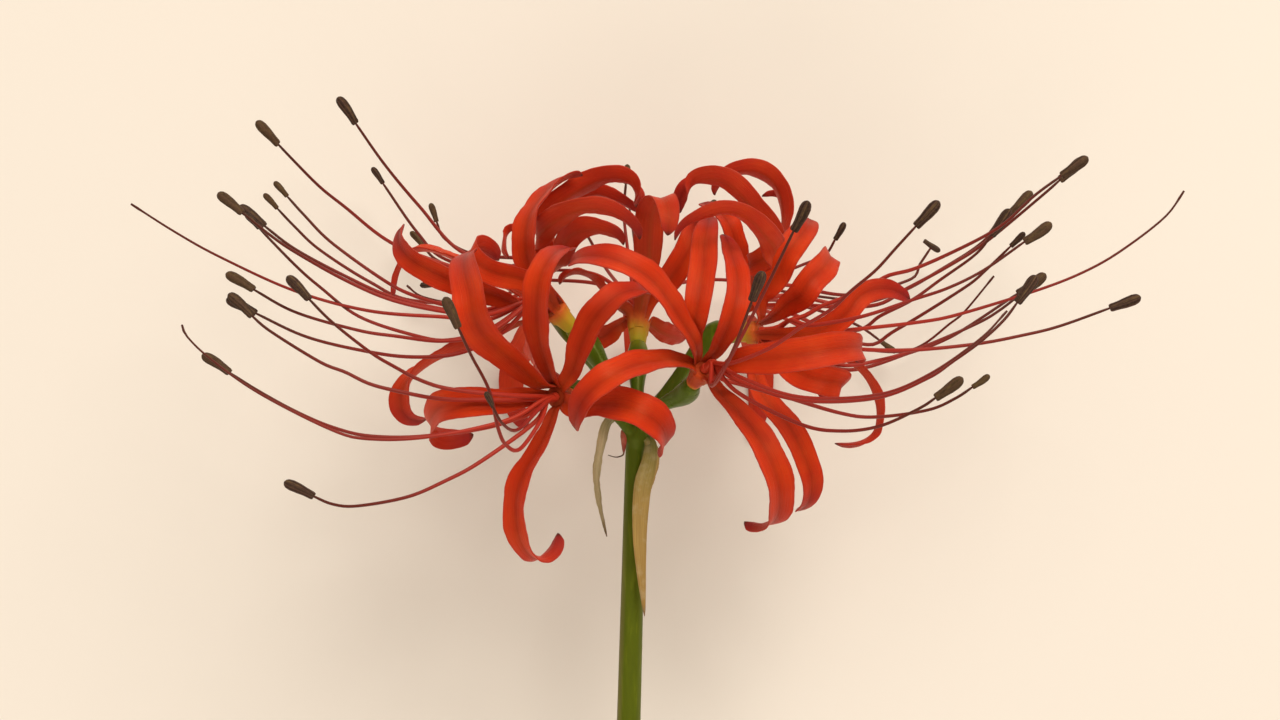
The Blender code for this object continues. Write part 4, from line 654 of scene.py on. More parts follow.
def arrange():
    """Every organ of the flower, bent clear of the others."""
    organs = []
    for name, floret in FLORETS.items():
        stalk = spread_evenly(stalk_path(floret), STALK_STATIONS)[:-1]
        organs.append(Organ("scape", name, stalk, STALK_ROOM, fixed=True))
        organs += floret_organs(name, floret)
    top = scape_path(np.linspace(0, 0.25, SCAPE_STATIONS))
    organs.append(Organ("scape", "scape", top, SCAPE_ROOM, fixed=True))
    for name, bract in BRACTS.items():
        organ = Organ(name, name, smooth_path(true_place(bract["rib"]), BLADE_STATIONS), BRACT_ROOM)
        across = np.array(bract["across"], float)
        organ.as_blade(bract_half_width, bract["width"], BRACT_CHANNEL, across, across)
        organs.append(organ)
    return bend_clear(organs)


# The finer forms. Each vertex of a blade carries "grow": how far it lies along the blade, how far
# across it, and 0 on its upper face or 1 on its lower one.

def ring_quads(rings, around):
    """The faces between rings of so many points around."""
    starts = np.arange(rings - 1)[:, None] * around
    a = starts + np.arange(around)
    b = starts + np.roll(np.arange(around), -1)
    return np.stack([a, b, b + around, a + around], axis=-1).reshape(-1, 4).tolist()


def fine_blade(organ, profile, seed, thickness, wave, crisp, stations, across):
    """A channelled blade with thin waved edges: its points, its faces and its grow values."""
    s = 1 - (1 - np.linspace(0, 1, stations)) ** 1.25
    middle = softened(resampled(smooth_path(organ.path, FINE_CURVE), s), 2)
    t = tangents(middle)
    w = square_to(t, softened(resampled(organ.w, s), 3))
    n = np.cross(w, t)
    # One row for each station from here on, and one column for each place u across the blade
    s = s[:, None]
    u = np.sin(0.5 * np.pi * np.linspace(-1, 1, across))
    point = np.sqrt(np.clip((1 - s) / 0.035, 0.004, 1))
    half = profile(s, organ.width) * point
    fade = np.sin(np.pi * np.clip((s - 0.15) / 0.8, 0, 1)) ** 0.5
    left = wave * np.sin(2 * np.pi * TEPAL_WAVES * s + seed)
    right = wave * np.sin(2 * np.pi * TEPAL_WAVES * s + seed * 1.7 + 2.0)
    crinkle = crisp * np.sin(2 * np.pi * (15 + seed) * s + 3 * seed) * np.sin(2 * np.pi * 3.3 * s + seed)
    edge = (np.where(u > 0, left, right) * np.abs(u) ** 2.2 + crinkle * np.abs(u) ** 5) * fade
    height = organ.channel * half / (0.5 * TEPAL_WIDTH) * np.abs(u) ** 1.5 + edge - 0.5 * thickness
    thin = thickness * (0.42 + 0.58 * (1 - np.abs(u) ** 2.6)) * np.clip(point, 0.3, 1)
    midrib = np.exp(-((u / 0.13) ** 2)) * (0.4 + 0.6 * fade)
    up = height + 0.5 * thin - 0.09 * midrib
    down = height - 0.5 * thin - 0.08 * midrib
    sheet = middle[:, None] + w[:, None] * (half * u)[..., None]
    rim = w * (half + 0.22 * thin[:, :1] * np.clip(point, 0, 1))
    rings = np.concatenate([sheet + n[:, None] * up[..., None],
                            (middle + rim + n * height[:, -1:])[:, None],
                            (sheet + n[:, None] * down[..., None])[:, ::-1],
                            (middle - rim + n * height[:, :1])[:, None]], axis=1)
    around = 2 * across + 2
    grow = np.zeros((stations, around, 3))
    grow[..., 0] = s
    grow[..., 1] = np.r_[u, 1, u[::-1], -1]
    grow[..., 2] = np.r_[np.zeros(across), 0.5, np.ones(across), 0.5]
    faces = ring_quads(stations, around)
    for start, order in ((0, -1), ((stations - 1) * around, 1)):
        above = [start + k for k in range(across)]
        below = [start + 2 * across - k for k in range(across)]
        cap = [(above[k], above[k + 1], below[k + 1], below[k]) for k in range(across - 1)]
        cap.append((above[-1], start + across, below[-1]))
        cap.append((above[0], below[0], start + 2 * across + 1))
        faces += [face[::order] for face in cap]
    return rings.reshape(-1, 3), faces, grow.reshape(-1, 3)


def fine_tube(path, radii, sides, lobes=0, depth=0.0, along=(0.0, 1.0), side=0.0):
    """A round tube with closed ends: its points, its faces and its grow values."""
    t = tangents(path)
    normal = np.cross(t[0], (0.3, 0.5, 0.8))
    angle = 2 * np.pi * np.arange(sides) / sides
    rings = []
    for p, tangent, radius, deep in zip(path, t, radii, np.broadcast_to(depth, len(path))):
        normal = unit(normal - tangent * (normal @ tangent))
        other = np.cross(tangent, normal)
        swell = radius * (1 + deep * np.cos(lobes * angle))
        rings.append(p + swell[:, None] * (np.cos(angle)[:, None] * normal + np.sin(angle)[:, None] * other))
    grow = np.zeros((len(path), sides, 3))
    grow[..., 0] = np.linspace(along[0], along[1], len(path))[:, None]
    grow[..., 1] = np.abs(angle / np.pi - 1)
    grow[..., 2] = side
    last = (len(path) - 1) * sides
    faces = ring_quads(len(path), sides) + [tuple(range(sides))[::-1], tuple(range(last, last + sides))]
    return np.array(rings).reshape(-1, 3), faces, grow.reshape(-1, 3)


def in_place(points):
    """Points of the flower's frame, in millimetres, where they lie in metres."""
    p = np.asarray(points) * MM
    x, y, z = p[..., 0], p[..., 1], p[..., 2]
    return np.stack([x, COS_TILT * y - SIN_TILT * z, SIN_TILT * y + COS_TILT * z], axis=-1) + LILY_AT


def added(name, data, collection=None):
    if collection is None:
        collection = bpy.context.scene.collection
    obj = bpy.data.objects.new(name, data)
    collection.objects.link(obj)
    return obj


def points_of(mesh):
    points = np.zeros(len(mesh.vertices) * 3)
    mesh.vertices.foreach_get("co", points)
    return points.reshape(-1, 3)


def carry(mesh, name, kind, field, values):
    """Lets each vertex carry a value of its own for the materials."""
    data = mesh.attributes.new(name, kind, "POINT").data
    data.foreach_set(field, np.asarray(values, np.float32).reshape(-1))


def fine_object(name, piece, collection=None):
    points, faces, grow = piece
    mesh = bpy.data.meshes.new(name)
    mesh.from_pydata(in_place(points).tolist(), [], faces)
    carry(mesh, "grow", "FLOAT_VECTOR", "vector", grow)
    tidy = bmesh.new()
    tidy.from_mesh(mesh)
    bmesh.ops.recalc_face_normals(tidy, faces=tidy.faces)
    tidy.to_mesh(mesh)
    tidy.free()
    return added(name, mesh, collection)


def apply_modifiers(obj):
    graph = bpy.context.evaluated_depsgraph_get()
    mesh = bpy.data.meshes.new_from_object(obj.evaluated_get(graph))
    obj.modifiers.clear()
    obj.data = mesh


def grown_together(name, pieces):
    """One skin over overlapping closed pieces."""
    base = fine_object(name, pieces[0])
    if len(pieces) == 1:
        return base
    others = bpy.data.collections.new(name + "_pieces")
    bpy.context.scene.collection.children.link(others)
    for k, piece in enumerate(pieces[1:]):
        fine_object(f"{name}_piece_{k}", piece, others)
    union = base.modifiers.new("join", "BOOLEAN")
    union.operation = "UNION"
    union.operand_type = "COLLECTION"
    union.collection = others
    union.solver = "MANIFOLD"
    apply_modifiers(base)
    for obj in list(others.objects):
        bpy.data.objects.remove(obj)
    bpy.data.collections.remove(others)
    return base


def kept_in_box(obj):
    """Presses what would stand out of the solids' box back to its walls."""
    points = np.clip(points_of(obj.data), np.array(CAD_LOW), np.array(CAD_HIGH))
    obj.data.vertices.foreach_set("co", points.reshape(-1))
    obj.data.update()


def nearness(points, place, reach):
    """How near points lie to a place: 1 there, and 0 from the reach on."""
    away = np.linalg.norm(points - in_place(place), axis=1) / (reach * MM)
    return np.clip(1 - away, 0, 1)


def dressed(obj, material, slot, *nodes):
    kept_in_box(obj)
    obj.data.materials.clear()
    obj.data.materials.append(material)
    obj.data.shade_smooth()
    obj.data.set_sharp_from_angle(angle=math.radians(60))
    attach(obj, "root")
    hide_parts(*nodes)
    return obj


def fine_perianth(name, floret, tepals, material):
    mouth, axis = opening(floret)
    depth = np.array(TUBE_DEPTHS)
    radii = TUBE_RADIUS_LOW + (TUBE_RADIUS_MOUTH - 0.1 - TUBE_RADIUS_LOW) * (1 - depth / depth[0]) ** 1.5
    path = mouth - depth[:, None] * axis
    pieces = [fine_tube(path, radii * TUBE_FULLNESS, TUBE_SIDES, lobes=6, depth=0.03, along=(0.0, 0.0))]
    for k, tepal in enumerate(tepals):
        pieces.append(fine_blade(tepal, tepal_half_width, 1.3 * k + 0.7, *FINE_TEPAL))
    skin = grown_together("tepals_" + name, pieces)
    reach = TUBE_REACH_RED if name in RED_TUBES else TUBE_REACH
    carry(skin.data, "near", "FLOAT", "value", nearness(points_of(skin.data), path[0], reach))
    return dressed(skin, material, "perianth", "perianth_" + name)


def fine_anther(tip, along, kind, seed):
    """Two pollen sacs side by side, blunt at the far end and forked at the thread, slightly bowed."""
    size, tone = (1.0, 1.2) if kind == LARGE else (SMALL_ANTHER, 1.5)
    begin = -0.1
    if kind == SWUNG:
        along = unit(np.cross(along, (0, 0, 1)))
        begin = -0.5
    s = np.linspace(0, 1, ANTHER_RINGS)
    radius = size * ANTHER_RADIUS
    bow = unit(np.cross(along, (math.cos(seed), math.sin(seed), 0.4)))
    path = tip + along * (size * ANTHER_LENGTH * (begin + s))[:, None]
    path = path + bow * (0.2 * radius * np.sin(np.pi * s))[:, None]
    tone += 0.35 * math.sin(3.7 * seed)
    return fine_tube(path, radius * np.interp(s, *ANTHER_OUTLINE), ANTHER_SIDES, lobes=2,
                     depth=np.interp(s, *ANTHER_CLEFT), along=(tone, tone), side=1.0)


def mark_joints(skin, mouth):
    """Corners made by joining a thread and its anther have no place along the thread: gives them its end."""
    foot = Vector(in_place(mouth))
    grow = skin.data.attributes["grow"].data
    for corner, vertex in zip(grow, skin.data.vertices):
        if corner.vector[0] < 0.2 and (vertex.co - foot).length > THREAD_END * MM:
            corner.vector = (1.0, corner.vector[1], corner.vector[2])


def fine_stamens(name, floret, threads, material):
    mouth, axis = opening(floret)
    base = mouth + np.array([GAP, GAP + 0.5, GAP + 1.0])[:, None] * axis
    pieces = [fine_tube(base, COLUMN_RADII, COLUMN_SIDES, lobes=6, depth=0.05, along=(0.0, 0.02))]
    s = np.linspace(0, 1, THREAD_RINGS)
    taper = FILAMENT_RADIUS_ROOT + (FINE_TIP_SHARE * FILAMENT_RADIUS_TIP - FILAMENT_RADIUS_ROOT) * s**0.8
    for k, organ in enumerate(threads):
        path = smooth_path(organ.path, THREAD_RINGS)
        outline = FILAMENT_OUTLINE if organ.anther else STYLE_OUTLINE
        pieces.append(fine_tube(path, taper * np.interp(s, *outline), THREAD_SIDES))
        if organ.anther:
            seed = 2.1 * k + len(name)
            pieces.append(fine_anther(path[-1], unit(path[-1] - path[-3]), organ.anther, seed))
    skin = grown_together("stamens_of_" + name, pieces)
    mark_joints(skin, mouth)
    return dressed(skin, material, "stamen", "stamens_" + name)


def fine_scape(material):
    down = np.linspace(0, 1, SCAPE_RINGS)
    radii = SCAPE_RADIUS_TOP + (SCAPE_RADIUS_CUT - SCAPE_RADIUS_TOP) * down**0.4
    head = smooth_path([(0, -3.0, 0), (0, -0.6, 0), (0, 2.0, 0)], HEAD_RINGS)
    pieces = [fine_tube(scape_path(down), radii, SCAPE_SIDES, lobes=10, depth=0.012),
              fine_tube(head, np.interp(np.linspace(0, 1, HEAD_RINGS), *HEAD_OUTLINE), TUBE_SIDES)]
    s = np.linspace(0, 1, STALK_RINGS)
    radii = np.pad(np.interp(s, *STALK_OUTLINE), 2, mode="edge")
    radii = np.convolve(radii, [0.1, 0.2, 0.4, 0.2, 0.1], "valid")
    # The ovaries have three lobes, and the pedicels none
    lobed = 0.055 * np.clip((s - 0.6) / 0.12, 0, 1) * np.clip((1.0 - s) / 0.06, 0, 1)
    stalks = {name: stalk_path(floret) for name, floret in FLORETS.items()}
    lines = [smooth_path(stalk, STALK_RINGS) for stalk in stalks.values()]
    pieces += [fine_tube(line, radii, STALK_SIDES, lobes=3, depth=lobed) for line in lines]
    skin = grown_together("scape_and_ovaries", pieces)
    remesh = skin.modifiers.new("remesh", "REMESH")
    remesh.mode = "VOXEL"
    remesh.voxel_size = SCAPE_CELL * MM
    smooth = skin.modifiers.new("smooth", "CORRECTIVE_SMOOTH")
    smooth.factor = 0.5
    smooth.iterations = 3
    smooth.use_only_smooth = True
    apply_modifiers(skin)
    points = points_of(skin.data)
    end, top = in_place(scape_path([1.0, 0.0]))
    length = np.linalg.norm(top - end)
    # Along the scape, near an ovary, and near the foot of a tube
    grow = np.zeros((len(points), 3))
    grow[:, 0] = (points - end) @ ((top - end) / length) / length
    spots = in_place(np.vstack([line[int(OVARY_START * STALK_RINGS)::3] for line in lines]))
    near = np.min([np.linalg.norm(points - spot, axis=1) for spot in spots], axis=0)
    grow[:, 1] = np.clip(1 - (near - OVARY_NEAR * MM) / (OVARY_FADE * MM), 0, 1)
    grow[:, 2] = np.max([nearness(points, stalk[-1], OVARY_REACH_RED if name in RED_TUBES else OVARY_REACH)
                         for name, stalk in stalks.items()], axis=0)
    carry(skin.data, "grow", "FLOAT_VECTOR", "vector", grow)
    return dressed(skin, material, "scape", "scape")


class Blade:
    """A small blade along given points, with one direction across it."""

    def __init__(self, points, width, across):
        self.path = smooth_path(points, SMALL_CURVE)
        self.w = np.tile(unit(across), (len(self.path), 1))
        self.width = width
        self.channel = BRACT_CHANNEL


def fine_bract(name, organ, material):
    bract = BRACTS[name]
    kept = organ.path[int(bract["root_share"] * len(organ.path)):]
    organ.path = smooth_path(np.vstack([bract["root"], kept[:-1:3], kept[-1:]]), BRACT_CURVE)
    pieces = [fine_blade(organ, bract_half_width, 1.0, *FINE_BRACT)]
    if "flap" in bract:
        pieces.append(fine_blade(Blade(**bract["flap"]), bract_half_width, 2.0, *FINE_FLAP))
    return dressed(grown_together("papery_" + name, pieces), material, "bract", name)


def fine_bracteole(material):
    """The small red scale beside the scape's top, with the dry thread that hangs on it."""
    scale = Blade([(-1.6, 1.8, 0.9), (-2.5, 0.6, 1.4), (-2.6, -1.6, 1.5), (-2.6, -3.9, 1.4)], 1.5,
                  (1, 0.1, 0.3))
    hanging = [(-2.6, -3.6, 1.4), (-3.0, -4.1, 1.4), (-4.2, -4.4, 1.5), (-5.8, -4.0, 1.4)]
    radii = np.linspace(0.16, 0.08, 24)
    pieces = [fine_blade(scale, bract_half_width, 1.0, *FINE_SCALE),
              fine_tube(smooth_path(hanging, len(radii)), radii, THREAD_SIDES, along=(1.0, 1.0))]
    return dressed(grown_together("red_bracteole", pieces), material, "bract")


# Materials, all from nodes

class Nodes:
    """A short way to lay out a material's nodes."""

    def __init__(self, name, grown=True):
        self.material = bpy.data.materials.new(name)
        self.material.use_nodes = True
        self.tree = self.material.node_tree
        self.shader = self.tree.nodes["Principled BSDF"]
        if grown:
            self.along, self.across, self.side = self.split(self.carried("grow", "Vector"))
            self.place = self.new("TexCoord").outputs["Object"]

    def new(self, kind):
        return self.tree.nodes.new("ShaderNode" + kind)

    def put(self, socket, value):
        if isinstance(value, bpy.types.NodeSocket):
            self.tree.links.new(value, socket)
        else:
            socket.default_value = value

    def carried(self, name, output="Fac"):
        """What each vertex carries under a name."""
        node = self.new("Attribute")
        node.attribute_name = name
        return node.outputs[output]

    def split(self, vector):
        node = self.new("SeparateXYZ")
        self.put(node.inputs[0], vector)
        return node.outputs

    def vector(self, x, y, z=0.0):
        node = self.new("CombineXYZ")
        for socket, value in zip(node.inputs, (x, y, z)):
            self.put(socket, value)
        return node.outputs[0]

    def math(self, operation, a, b=0.0):
        node = self.new("Math")
        node.operation = operation
        self.put(node.inputs[0], a)
        self.put(node.inputs[1], b)
        return node.outputs[0]

    def times(self, a, b):
        return self.math("MULTIPLY", a, b)

    def plus(self, a, b):
        return self.math("ADD", a, b)

    def noise(self, vector, scale, detail=3.0, rough=0.55):
        node = self.new("TexNoise")
        for socket, value in (("Vector", vector), ("Scale", scale), ("Detail", detail), ("Roughness", rough)):
            self.put(node.inputs[socket], value)
        return node.outputs["Fac"]

    def streaks(self, across, along, side, detail):
        """Noise drawn out along a form, with so many grains across it and along it."""
        return self.noise(self.vector(self.times(self.across, across), self.times(self.along, along), side),
                          1.0, detail)

    def ramp(self, value, *stops):
        """The colour, or the number, at a value between stops."""
        node = self.new("ValToRGB")
        self.put(node.inputs[0], value)
        ramp = node.color_ramp
        while len(ramp.elements) < len(stops):
            ramp.elements.new(1.0)
        for element, (position, colour) in zip(ramp.elements, stops):
            element.position = position
            element.color = (*colour, 1) if isinstance(colour, tuple) else (colour, colour, colour, 1)
        return node.outputs[0]

    def mix(self, share, a, b, kind="MIX"):
        node = self.new("Mix")
        node.data_type = "RGBA"
        node.blend_type = kind
        self.put(node.inputs[0], share)
        for socket, value in ((node.inputs[6], a), (node.inputs[7], b)):
            self.put(socket, (*value, 1) if isinstance(value, tuple) else value)
        return node.outputs[2]

    def stained_or_shaded(self, colour, stain_or_shade, value, *stops):
        """The colour with some of another colour laid in, a mark of its own or painted shade, as much as the
        stops give for a value.
        """
        return self.mix(self.ramp(value, *stops), colour, stain_or_shade)

    def bump(self, height, strength, distance):
        node = self.new("Bump")
        for socket, value in (("Strength", strength), ("Distance", distance), ("Height", height)):
            self.put(node.inputs[socket], value)
        self.put(self.shader.inputs["Normal"], node.outputs[0])

    def finished(self, colour, rough, gloss, soft, bleeds, depth, tint=(1.0, 1.0, 1.0)):
        """The material, with its gloss and its tint, and how light goes through it, to a depth in metres."""
        for name, value in (("Base Color", colour), ("Roughness", rough), ("Specular IOR Level", gloss),
                            ("Specular Tint", (*tint, 1)), ("Subsurface Weight", soft),
                            ("Subsurface Radius", bleeds), ("Subsurface Scale", depth)):
            self.put(self.shader.inputs[name], value)
        return self.material


def tepal_material():
    """Orange red above, a little duller below, crimson at the tip, yellow to green at the tube's foot, with
    painted shade at the base of the upper face, along its channel and at the rims.
    """
    m = Nodes("tepal")
    from_rib = m.math("ABSOLUTE", m.across)
    fine = m.streaks(11.0, 3.0, m.side, 4.0)
    broad = m.noise(m.place, 60.0, 2.0)
    patches = m.noise(m.place, 110.0, 3.0)
    # The upper face darkens towards its base, which is painted shade near the floret's middle, and turns
    # crimson at the tip.
    upper = m.ramp(m.along, (0.0, (0.38, 0.046, 0.010)), (0.12, (0.42, 0.036, 0.007)),
                   (0.32, (0.57, 0.034, 0.005)), (0.7, (0.60, 0.036, 0.006)), (0.88, (0.44, 0.020, 0.009)),
                   (1.0, (0.27, 0.016, 0.020)))
    # Painted shade: the upper face is darker along the midrib's channel, as where the groove lies in shade,
    # and a little lighter towards the edges.
    channel = m.ramp(from_rib, (0.0, 0.70), (0.12, 0.78), (0.42, 0.96), (0.7, 1.06))
    upper = m.mix(1.0, upper, channel, "MULTIPLY")
    lower = m.ramp(m.along, (0.0, (0.36, 0.074, 0.018)), (0.12, (0.38, 0.050, 0.012)),
                   (0.5, (0.60, 0.046, 0.014)), (0.85, (0.55, 0.036, 0.014)), (1.0, (0.30, 0.020, 0.024)))
    keel = m.times(m.ramp(from_rib, (0.0, 1.0), (0.1, 0.6), (0.26, 0.0)),
                   m.ramp(m.along, (0.0, 0.8), (0.5, 0.35), (0.9, 0.0)))
    colour = m.mix(m.side, upper, m.mix(keel, lower, (0.28, 0.070, 0.014)))
    colour = m.stained_or_shaded(colour, (0.28, 0.012, 0.003), fine, (0.34, 0.2), (0.6, 0.0))
    colour = m.stained_or_shaded(colour, (0.30, 0.010, 0.003), broad, (0.38, 0.18), (0.62, 0.0))
    colour = m.stained_or_shaded(colour, (0.76, 0.085, 0.008), patches, (0.45, 0.0), (0.8, 0.35))
    # Painted shade: the rims are darker, as where the recurved edges lie in shade.
    colour = m.stained_or_shaded(colour, (0.34, 0.030, 0.018), from_rib, (0.80, 0.0), (0.95, 0.35), (1.0, 0.6))
    near = m.plus(m.carried("near"), m.times(m.math("SUBTRACT", patches, 0.5), 0.3))
    foot = m.ramp(near, (0.3, (0.48, 0.050, 0.014)), (0.48, (0.58, 0.13, 0.022)), (0.64, (0.54, 0.29, 0.024)),
                  (0.84, (0.42, 0.35, 0.022)), (0.98, (0.20, 0.25, 0.014)))
    colour = m.stained_or_shaded(colour, foot, near, (0.28, 0.0), (0.5, 1.0))
    colour = m.stained_or_shaded(colour, (0.06, 0.022, 0.016), m.along, (0.975, 0.0), (0.995, 0.9))
    cells = m.noise(m.place, 2600.0, 2.0)
    m.bump(m.plus(m.streaks(20.0, 2.2, m.side, 2.0), m.times(cells, 0.2)), 0.5, 0.00022)
    return m.finished(colour, m.ramp(fine, (0.3, 0.5), (0.7, 0.38)), gloss=0.2, tint=(1.0, 0.62, 0.4),
                      soft=0.22, bleeds=(1.0, 0.14, 0.04), depth=0.0011)


def stamen_material():
    """Red at the foot, maroon towards the tip. The sacs are dark brown or olive with grains of pollen."""
    m = Nodes("stamen")
    mottle = m.noise(m.place, 900.0, 3.0)
    region = m.noise(m.place, 26.0, 1.0)
    filament = m.ramp(m.along, (0.0, (0.50, 0.040, 0.016)), (0.3, (0.40, 0.026, 0.016)),
                      (0.6, (0.26, 0.016, 0.012)), (0.82, (0.12, 0.012, 0.008)), (1.0, (0.05, 0.013, 0.007)))
    dark = m.times(m.ramp(region, (0.42, 0.0), (0.62, 0.5)), m.ramp(m.along, (0.1, 0.0), (0.5, 1.0)))
    filament = m.mix(dark, filament, (0.11, 0.012, 0.008))
    sacs = m.ramp(m.noise(m.place, 900.0, 4.0, 0.7), (0.3, (0.008, 0.003, 0.002)),
                  (0.7, (0.032, 0.014, 0.009)))
    sacs = m.stained_or_shaded(sacs, (0.105, 0.048, 0.034), m.streaks(9.0, 3.0, 0.0, 2.0), (0.44, 0.0), (0.60, 0.7))
    olive = m.mix(mottle, (0.034, 0.017, 0.006), (0.14, 0.084, 0.024))
    sacs = m.stained_or_shaded(sacs, olive, m.math("SUBTRACT", m.along, 1.0), (0.25, 0.0), (0.75, 0.7))
    from_seam = m.math("ABSOLUTE", m.math("SUBTRACT", m.across, 0.5))
    seam = m.ramp(from_seam, (0.0, 0.4), (0.06, 0.3), (0.12, 0.0))
    grains = m.ramp(m.noise(m.place, 2200.0, 4.0, 0.75), (0.5, 0.0), (0.6, 1.0))
    pollen = m.times(seam, m.ramp(m.noise(m.place, 600.0), (0.42, 0.0), (0.6, 1.0)))
    sacs = m.mix(m.math("MAXIMUM", pollen, m.times(grains, 0.14)), sacs, (0.20, 0.125, 0.04))
    m.bump(m.times(m.noise(m.place, 3800.0, 3.0, 0.7), m.plus(m.side, 0.15)), 0.6, 0.0002)
    rough = m.ramp(m.plus(m.times(m.side, 0.6), m.times(mottle, 0.3)), (0.0, 0.36), (0.4, 0.48), (1.0, 0.75))
    return m.finished(m.mix(m.side, filament, sacs), rough, gloss=0.3, tint=(1.0, 0.75, 0.6),
                      soft=0.06, bleeds=(0.8, 0.2, 0.15), depth=0.0006)


def scape_material():
    """Waxy green with faint lengthwise streaks, brownish low on one side, yellow above the ovaries."""
    m = Nodes("scape")
    x, y, z = m.split(m.place)
    streaks = m.noise(m.vector(m.times(x, 900.0), m.times(y, 22.0), m.times(z, 900.0)), 1.0, 4.0)
    mottle = m.noise(m.place, 260.0, 4.0)
    stalk = m.ramp(m.along, (0.0, (0.100, 0.130, 0.002)), (0.5, (0.092, 0.118, 0.002)),
                   (0.9, (0.078, 0.102, 0.002)), (1.0, (0.060, 0.098, 0.002)))
    ovary = m.mix(mottle, (0.040, 0.088, 0.002), (0.085, 0.155, 0.004))
    colour = m.mix(m.across, stalk, ovary)
    colour = m.stained_or_shaded(colour, (0.050, 0.070, 0.002), streaks, (0.35, 0.45), (0.62, 0.0))
    colour = m.stained_or_shaded(colour, (0.19, 0.22, 0.010), streaks, (0.56, 0.0), (0.8, 0.45))
    left = m.times(m.split(m.new("NewGeometry").outputs["Normal"])[0], -1.0)
    brown = m.times(m.ramp(left, (0.5, 0.0), (0.98, 0.55)),
                    m.ramp(m.along, (0.0, 1.0), (0.85, 0.8), (1.0, 0.0)))
    colour = m.mix(brown, colour, (0.20, 0.13, 0.045))
    colour = m.stained_or_shaded(colour, (0.30, 0.30, 0.015), m.side, (0.35, 0.0), (0.85, 0.8), (1.0, 1.0))
    pith = m.mix(mottle, (0.42, 0.45, 0.18), (0.30, 0.36, 0.10))
    colour = m.stained_or_shaded(colour, pith, m.along, (0.0004, 1.0), (0.0012, 0.0))
    m.bump(m.plus(streaks, m.times(m.noise(m.place, 2200.0), 0.3)), 0.4, 0.0002)
    waxy = m.math("SUBTRACT", m.ramp(mottle, (0.3, 0.42), (0.7, 0.54)), m.times(m.across, 0.2))
    return m.finished(colour, waxy, gloss=0.4, tint=(1.0, 0.95, 0.3),
                      soft=0.1, bleeds=(0.5, 1.0, 0.2), depth=0.0012)


def bract_material(name, *stops):
    """Dry paper in the given colours along it, with lengthwise fibres and a pale mottle."""
    m = Nodes(name)
    fibres = m.streaks(14.0, 3.0, m.side, 5.0)
    mottle = m.noise(m.place, 420.0, 4.0)
    colour = m.ramp(m.along, *stops)
    dusky = m.mix(1.0, colour, (0.62, 0.55, 0.45), "MULTIPLY")
    colour = m.stained_or_shaded(colour, dusky, m.math("ABSOLUTE", m.across), (0.6, 0.0), (1.0, 0.45))
    darker = m.mix(1.0, colour, (0.5, 0.42, 0.32), "MULTIPLY")
    colour = m.stained_or_shaded(colour, darker, fibres, (0.32, 0.6), (0.62, 0.0))
    colour = m.stained_or_shaded(colour, (0.70, 0.60, 0.38), mottle, (0.5, 0.0), (0.8, 0.35))
    m.bump(m.plus(fibres, m.times(mottle, 0.5)), 0.8, 0.0003)
    return m.finished(colour, m.ramp(fibres, (0.3, 0.7), (0.7, 0.5)), gloss=0.3,
                      soft=0.12, bleeds=(1.0, 0.7, 0.3), depth=0.001)


def floor_material():
    """A pale warm floor, with hardly any unevenness in its colour."""
    m = Nodes("floor", grown=False)
    grain = m.noise(m.new("TexCoord").outputs["Generated"], 3.0, 2.0, 0.5)
    colour = m.ramp(grain, (0.0, (0.84, 0.765, 0.675)), (1.0, (0.86, 0.79, 0.705)))
    m.put(m.shader.inputs["Base Color"], colour)
    m.put(m.shader.inputs["Roughness"], 0.85)
    return m.material


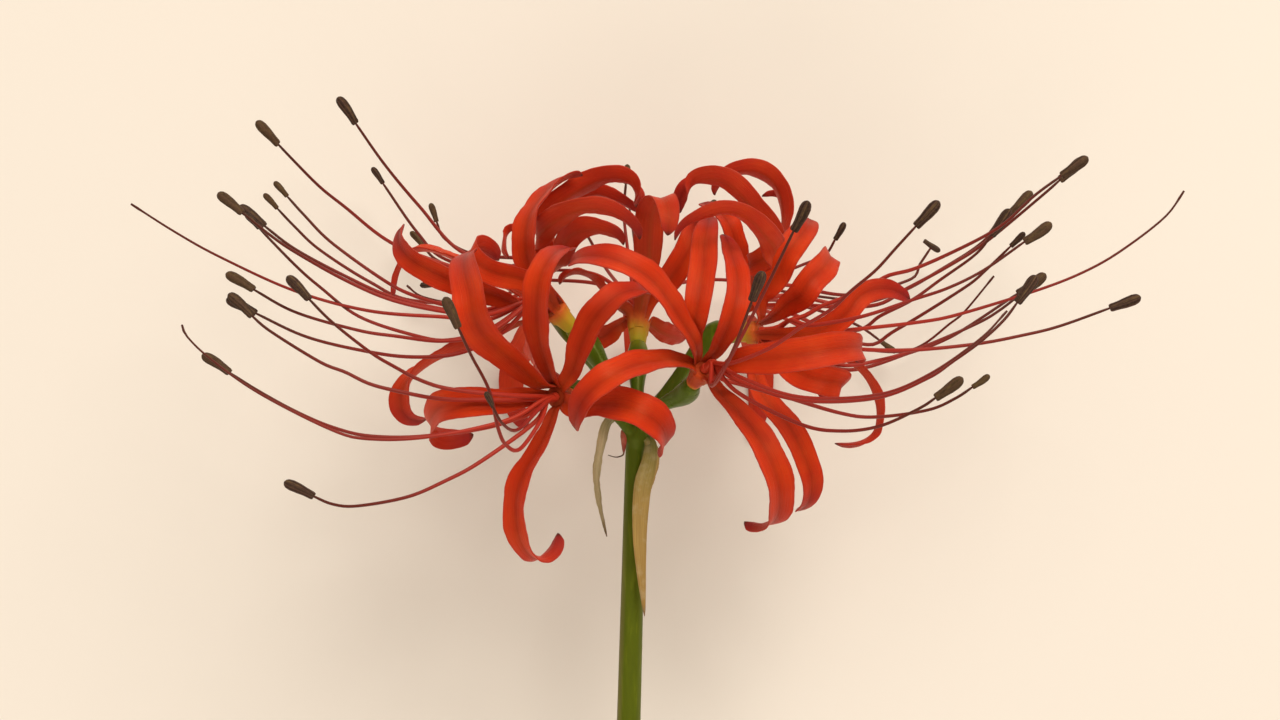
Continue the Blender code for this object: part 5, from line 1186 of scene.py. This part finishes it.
def dress_flower():
    tepal = tepal_material()
    stamen = stamen_material()
    straw = bract_material("straw_bract", (0.0, (0.14, 0.17, 0.03)), (0.1, (0.44, 0.40, 0.17)),
                           (0.35, (0.66, 0.56, 0.31)), (0.8, (0.52, 0.42, 0.22)), (1.0, (0.14, 0.07, 0.03)))
    ochre = bract_material("ochre_bract", (0.0, (0.12, 0.15, 0.02)), (0.12, (0.34, 0.30, 0.08)),
                           (0.4, (0.52, 0.35, 0.10)), (0.93, (0.50, 0.30, 0.08)), (1.0, (0.16, 0.07, 0.03)))
    red_paper = bract_material("red_bract", (0.0, (0.40, 0.10, 0.03)), (0.5, (0.55, 0.07, 0.04)),
                               (0.85, (0.40, 0.04, 0.03)), (1.0, (0.09, 0.05, 0.025)))
    organs = arrange()
    for name, floret in FLORETS.items():
        fine_perianth(name, floret, [o for o in organs if o.node == "perianth_" + name], tepal)
        fine_stamens(name, floret, [o for o in organs if o.node == "stamens_" + name], stamen)
    fine_scape(scape_material())
    for name, paper in (("spathe_bract_left", straw), ("spathe_bract_right", ochre)):
        fine_bract(name, next(o for o in organs if o.node == name), paper)
    fine_bracteole(red_paper)


def look_down():
    """The camera above the flower, at the photograph's angle."""
    camera = added("camera", bpy.data.cameras.new("camera"))
    turn = Matrix(((1, 0, 0), (0, COS_TILT, -SIN_TILT), (0, SIN_TILT, COS_TILT))).to_4x4()
    camera.matrix_world = Matrix.Translation(in_place((*EYE_OVER, EYE_DISTANCE))) @ turn
    camera.data.lens = LENS
    camera.data.sensor_width = SENSOR
    camera.data.clip_start = 0.01
    camera.data.clip_end = 50
    bpy.context.scene.camera = camera


def light(name, place, size, watts, colour, aim=(0, 0.08, 0.04)):
    """A round lamp at a place in metres, turned to the flower."""
    lamp = bpy.data.lights.new(name, "AREA")
    lamp.shape = "DISK"
    lamp.size = size
    lamp.energy = watts
    lamp.color = colour
    obj = added(name, lamp)
    obj.location = place
    obj.rotation_euler = (Vector(place) - Vector(aim)).to_track_quat("Z", "Y").to_euler()


def studio():
    mesh = bpy.data.meshes.new("floor")
    corners = [(-1, -1), (1, -1), (1, 1), (-1, 1)]
    corners = [(x * FLOOR_REACH, y * FLOOR_REACH, -FLOOR_DROP) for x, y in corners]
    mesh.from_pydata(corners, [], [(0, 1, 2, 3)])
    floor = added("floor", mesh)
    mesh.materials.append(floor_material())
    light("key", (0.85, 1.55, 1.9), size=1.5, watts=45.0, colour=(1.0, 0.96, 0.89))
    light("fill", (-0.35, -0.95, 0.85), size=0.9, watts=4.0, colour=(1.0, 0.94, 0.86))
    world = bpy.data.worlds.new("studio")
    bpy.context.scene.world = world
    world.use_nodes = True
    background = world.node_tree.nodes["Background"]
    background.inputs["Color"].default_value = (1.0, 0.91, 0.80, 1)
    background.inputs["Strength"].default_value = 0.58
    bpy.context.scene.view_settings.view_transform = "Standard"


dress_flower()
look_down()
studio()
